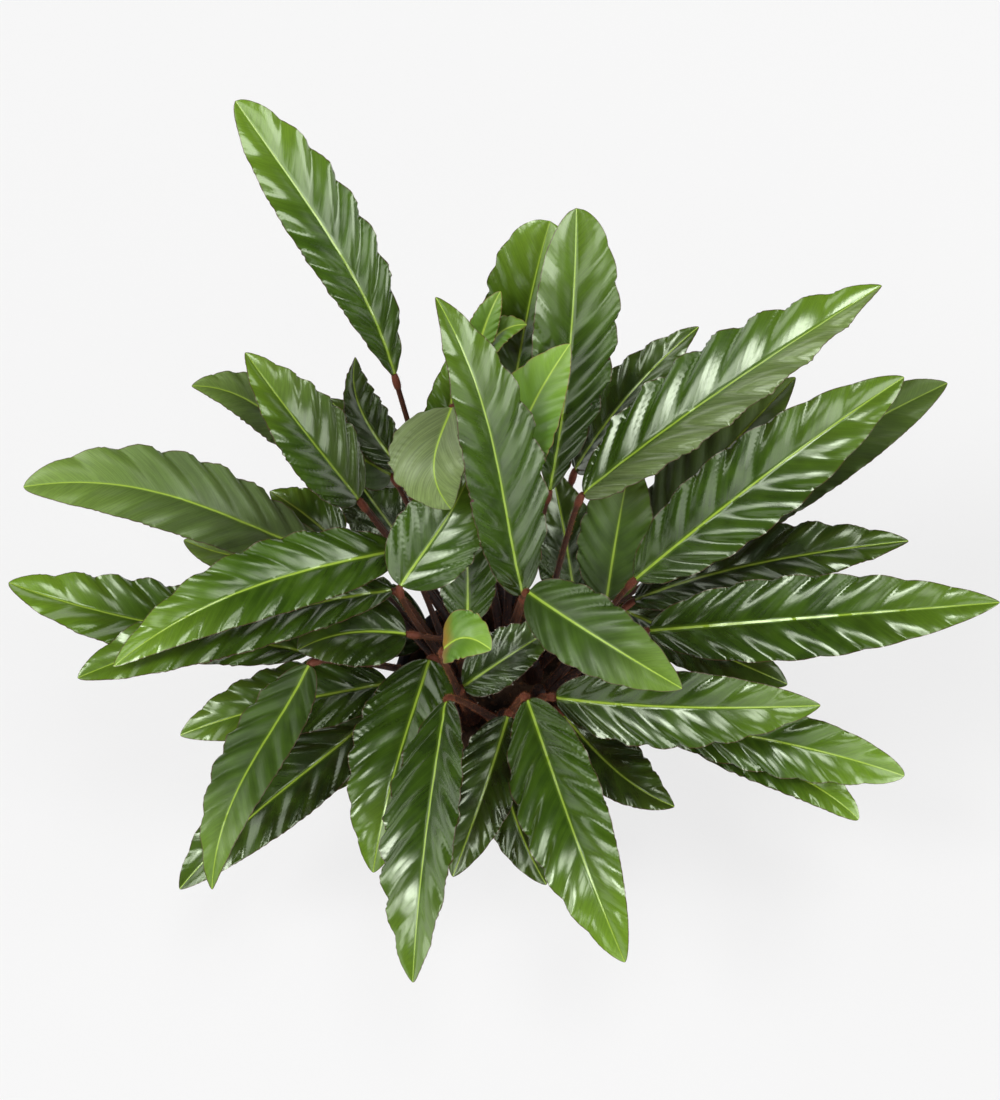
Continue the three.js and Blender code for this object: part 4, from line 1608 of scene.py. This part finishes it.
@dataclass
class Studio:
    """The camera, the floor and plain soft light."""

    target: tuple[float, float, float] = (0.0, 0.099, 0.193)
    distance: float = 2.2
    elevation: float = 62.0
    lens: float = 90.0
    sensor: float = 36.0
    floor_reach: float = 6.0
    lamp_distance: float = 3.0
    sky: float = 0.03
    backdrop: float = 0.9
    boxes: Sequence[Softbox] = (
        Softbox("key", (-0.5, -0.2, 0.84), 18.0, 14.5),
        Softbox("key_low", (-0.55, -0.45, 0.7), 18.0, 6.0),
        Softbox("overhead", (0.1, -0.05, 0.98), 20.0, 7.5),
        Softbox("left_high", (-0.8, -0.15, 0.58), 22.0, 5.0),
        Softbox("left", (-0.95, -0.15, 0.25), 30.0, 3.4),
        Softbox("right", (0.88, -0.35, 0.28), 34.0, 5.5),
        Softbox("right_high", (0.7, 0.0, 0.7), 24.0, 3.3),
        Softbox("front_right", (0.55, -0.78, 0.3), 30.0, 3.4),
        Softbox("front_high", (0.0, -0.75, 0.66), 20.0, 2.6),
        Softbox("front", (0.1, -0.97, 0.12), 30.0, 1.8),
        Softbox("rear", (-0.8, 0.5, 0.25), 36.0, 2.0),
        Softbox("rear_low", (0.0, 0.97, 0.2), 30.0, 1.3),
    )

    def camera(self) -> None:
        """Sets the camera at the photograph's viewing angle."""
        lean = math.radians(self.elevation)
        data = bpy.data.cameras.new("camera")
        data.lens = self.lens
        data.sensor_width = self.sensor
        data.sensor_fit = "AUTO"
        data.clip_start = 0.05
        camera = bpy.data.objects.new("camera", data)
        bpy.context.scene.collection.objects.link(camera)
        offset = Vector((0, -math.cos(lean), math.sin(lean))) * self.distance
        camera.location = Vector(self.target) + offset
        camera.rotation_euler = (math.pi / 2 - lean, 0, 0)
        bpy.context.scene.camera = camera

    def floor(self) -> None:
        """Lays the pale floor under the pot."""
        corners = [(-1, -1, 0), (1, -1, 0), (1, 1, 0), (-1, 1, 0)]
        floor = mesh_object("floor", np.array(corners) * self.floor_reach, [[0, 1, 2, 3]])
        floor.data.materials.append(FloorFinish().material())

    def lights(self) -> None:
        """Hangs the softboxes and sets the surrounding light."""
        for box in self.boxes:
            data = bpy.data.lights.new(box.name, "SUN")
            data.angle = math.radians(box.spread)
            data.energy = box.power
            lamp = bpy.data.objects.new(box.name, data)
            bpy.context.scene.collection.objects.link(lamp)
            lamp.location = Vector(box.towards) * self.lamp_distance
            lamp.rotation_euler = Vector(box.towards).to_track_quat("Z", "Y").to_euler()
        world = bpy.data.worlds.new("studio")
        world.use_nodes = True
        graph = ShaderGraph(world.node_tree)
        ground = world.node_tree.nodes["Background"]
        ground.inputs["Color"].default_value = WHITE
        seen = graph.node("ShaderNodeLightPath").outputs["Is Camera Ray"]
        graph.feed(ground.inputs["Strength"], graph.line(seen, self.backdrop - self.sky, self.sky))
        bpy.context.scene.world = world
        bpy.context.scene.view_settings.view_transform = "Standard"

    def build(self) -> None:
        """Sets up camera, floor and light."""
        self.camera()
        self.floor()
        self.lights()


def main() -> None:
    """Builds the studio and the plant."""
    logging.basicConfig(level=logging.INFO, format="%(name)s: %(message)s")
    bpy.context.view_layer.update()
    Studio().build()
    NurseryPot().build()
    SoilBed().build()
    Stems().build()
    Foliage().build()


if __name__ == "__main__":
    main()
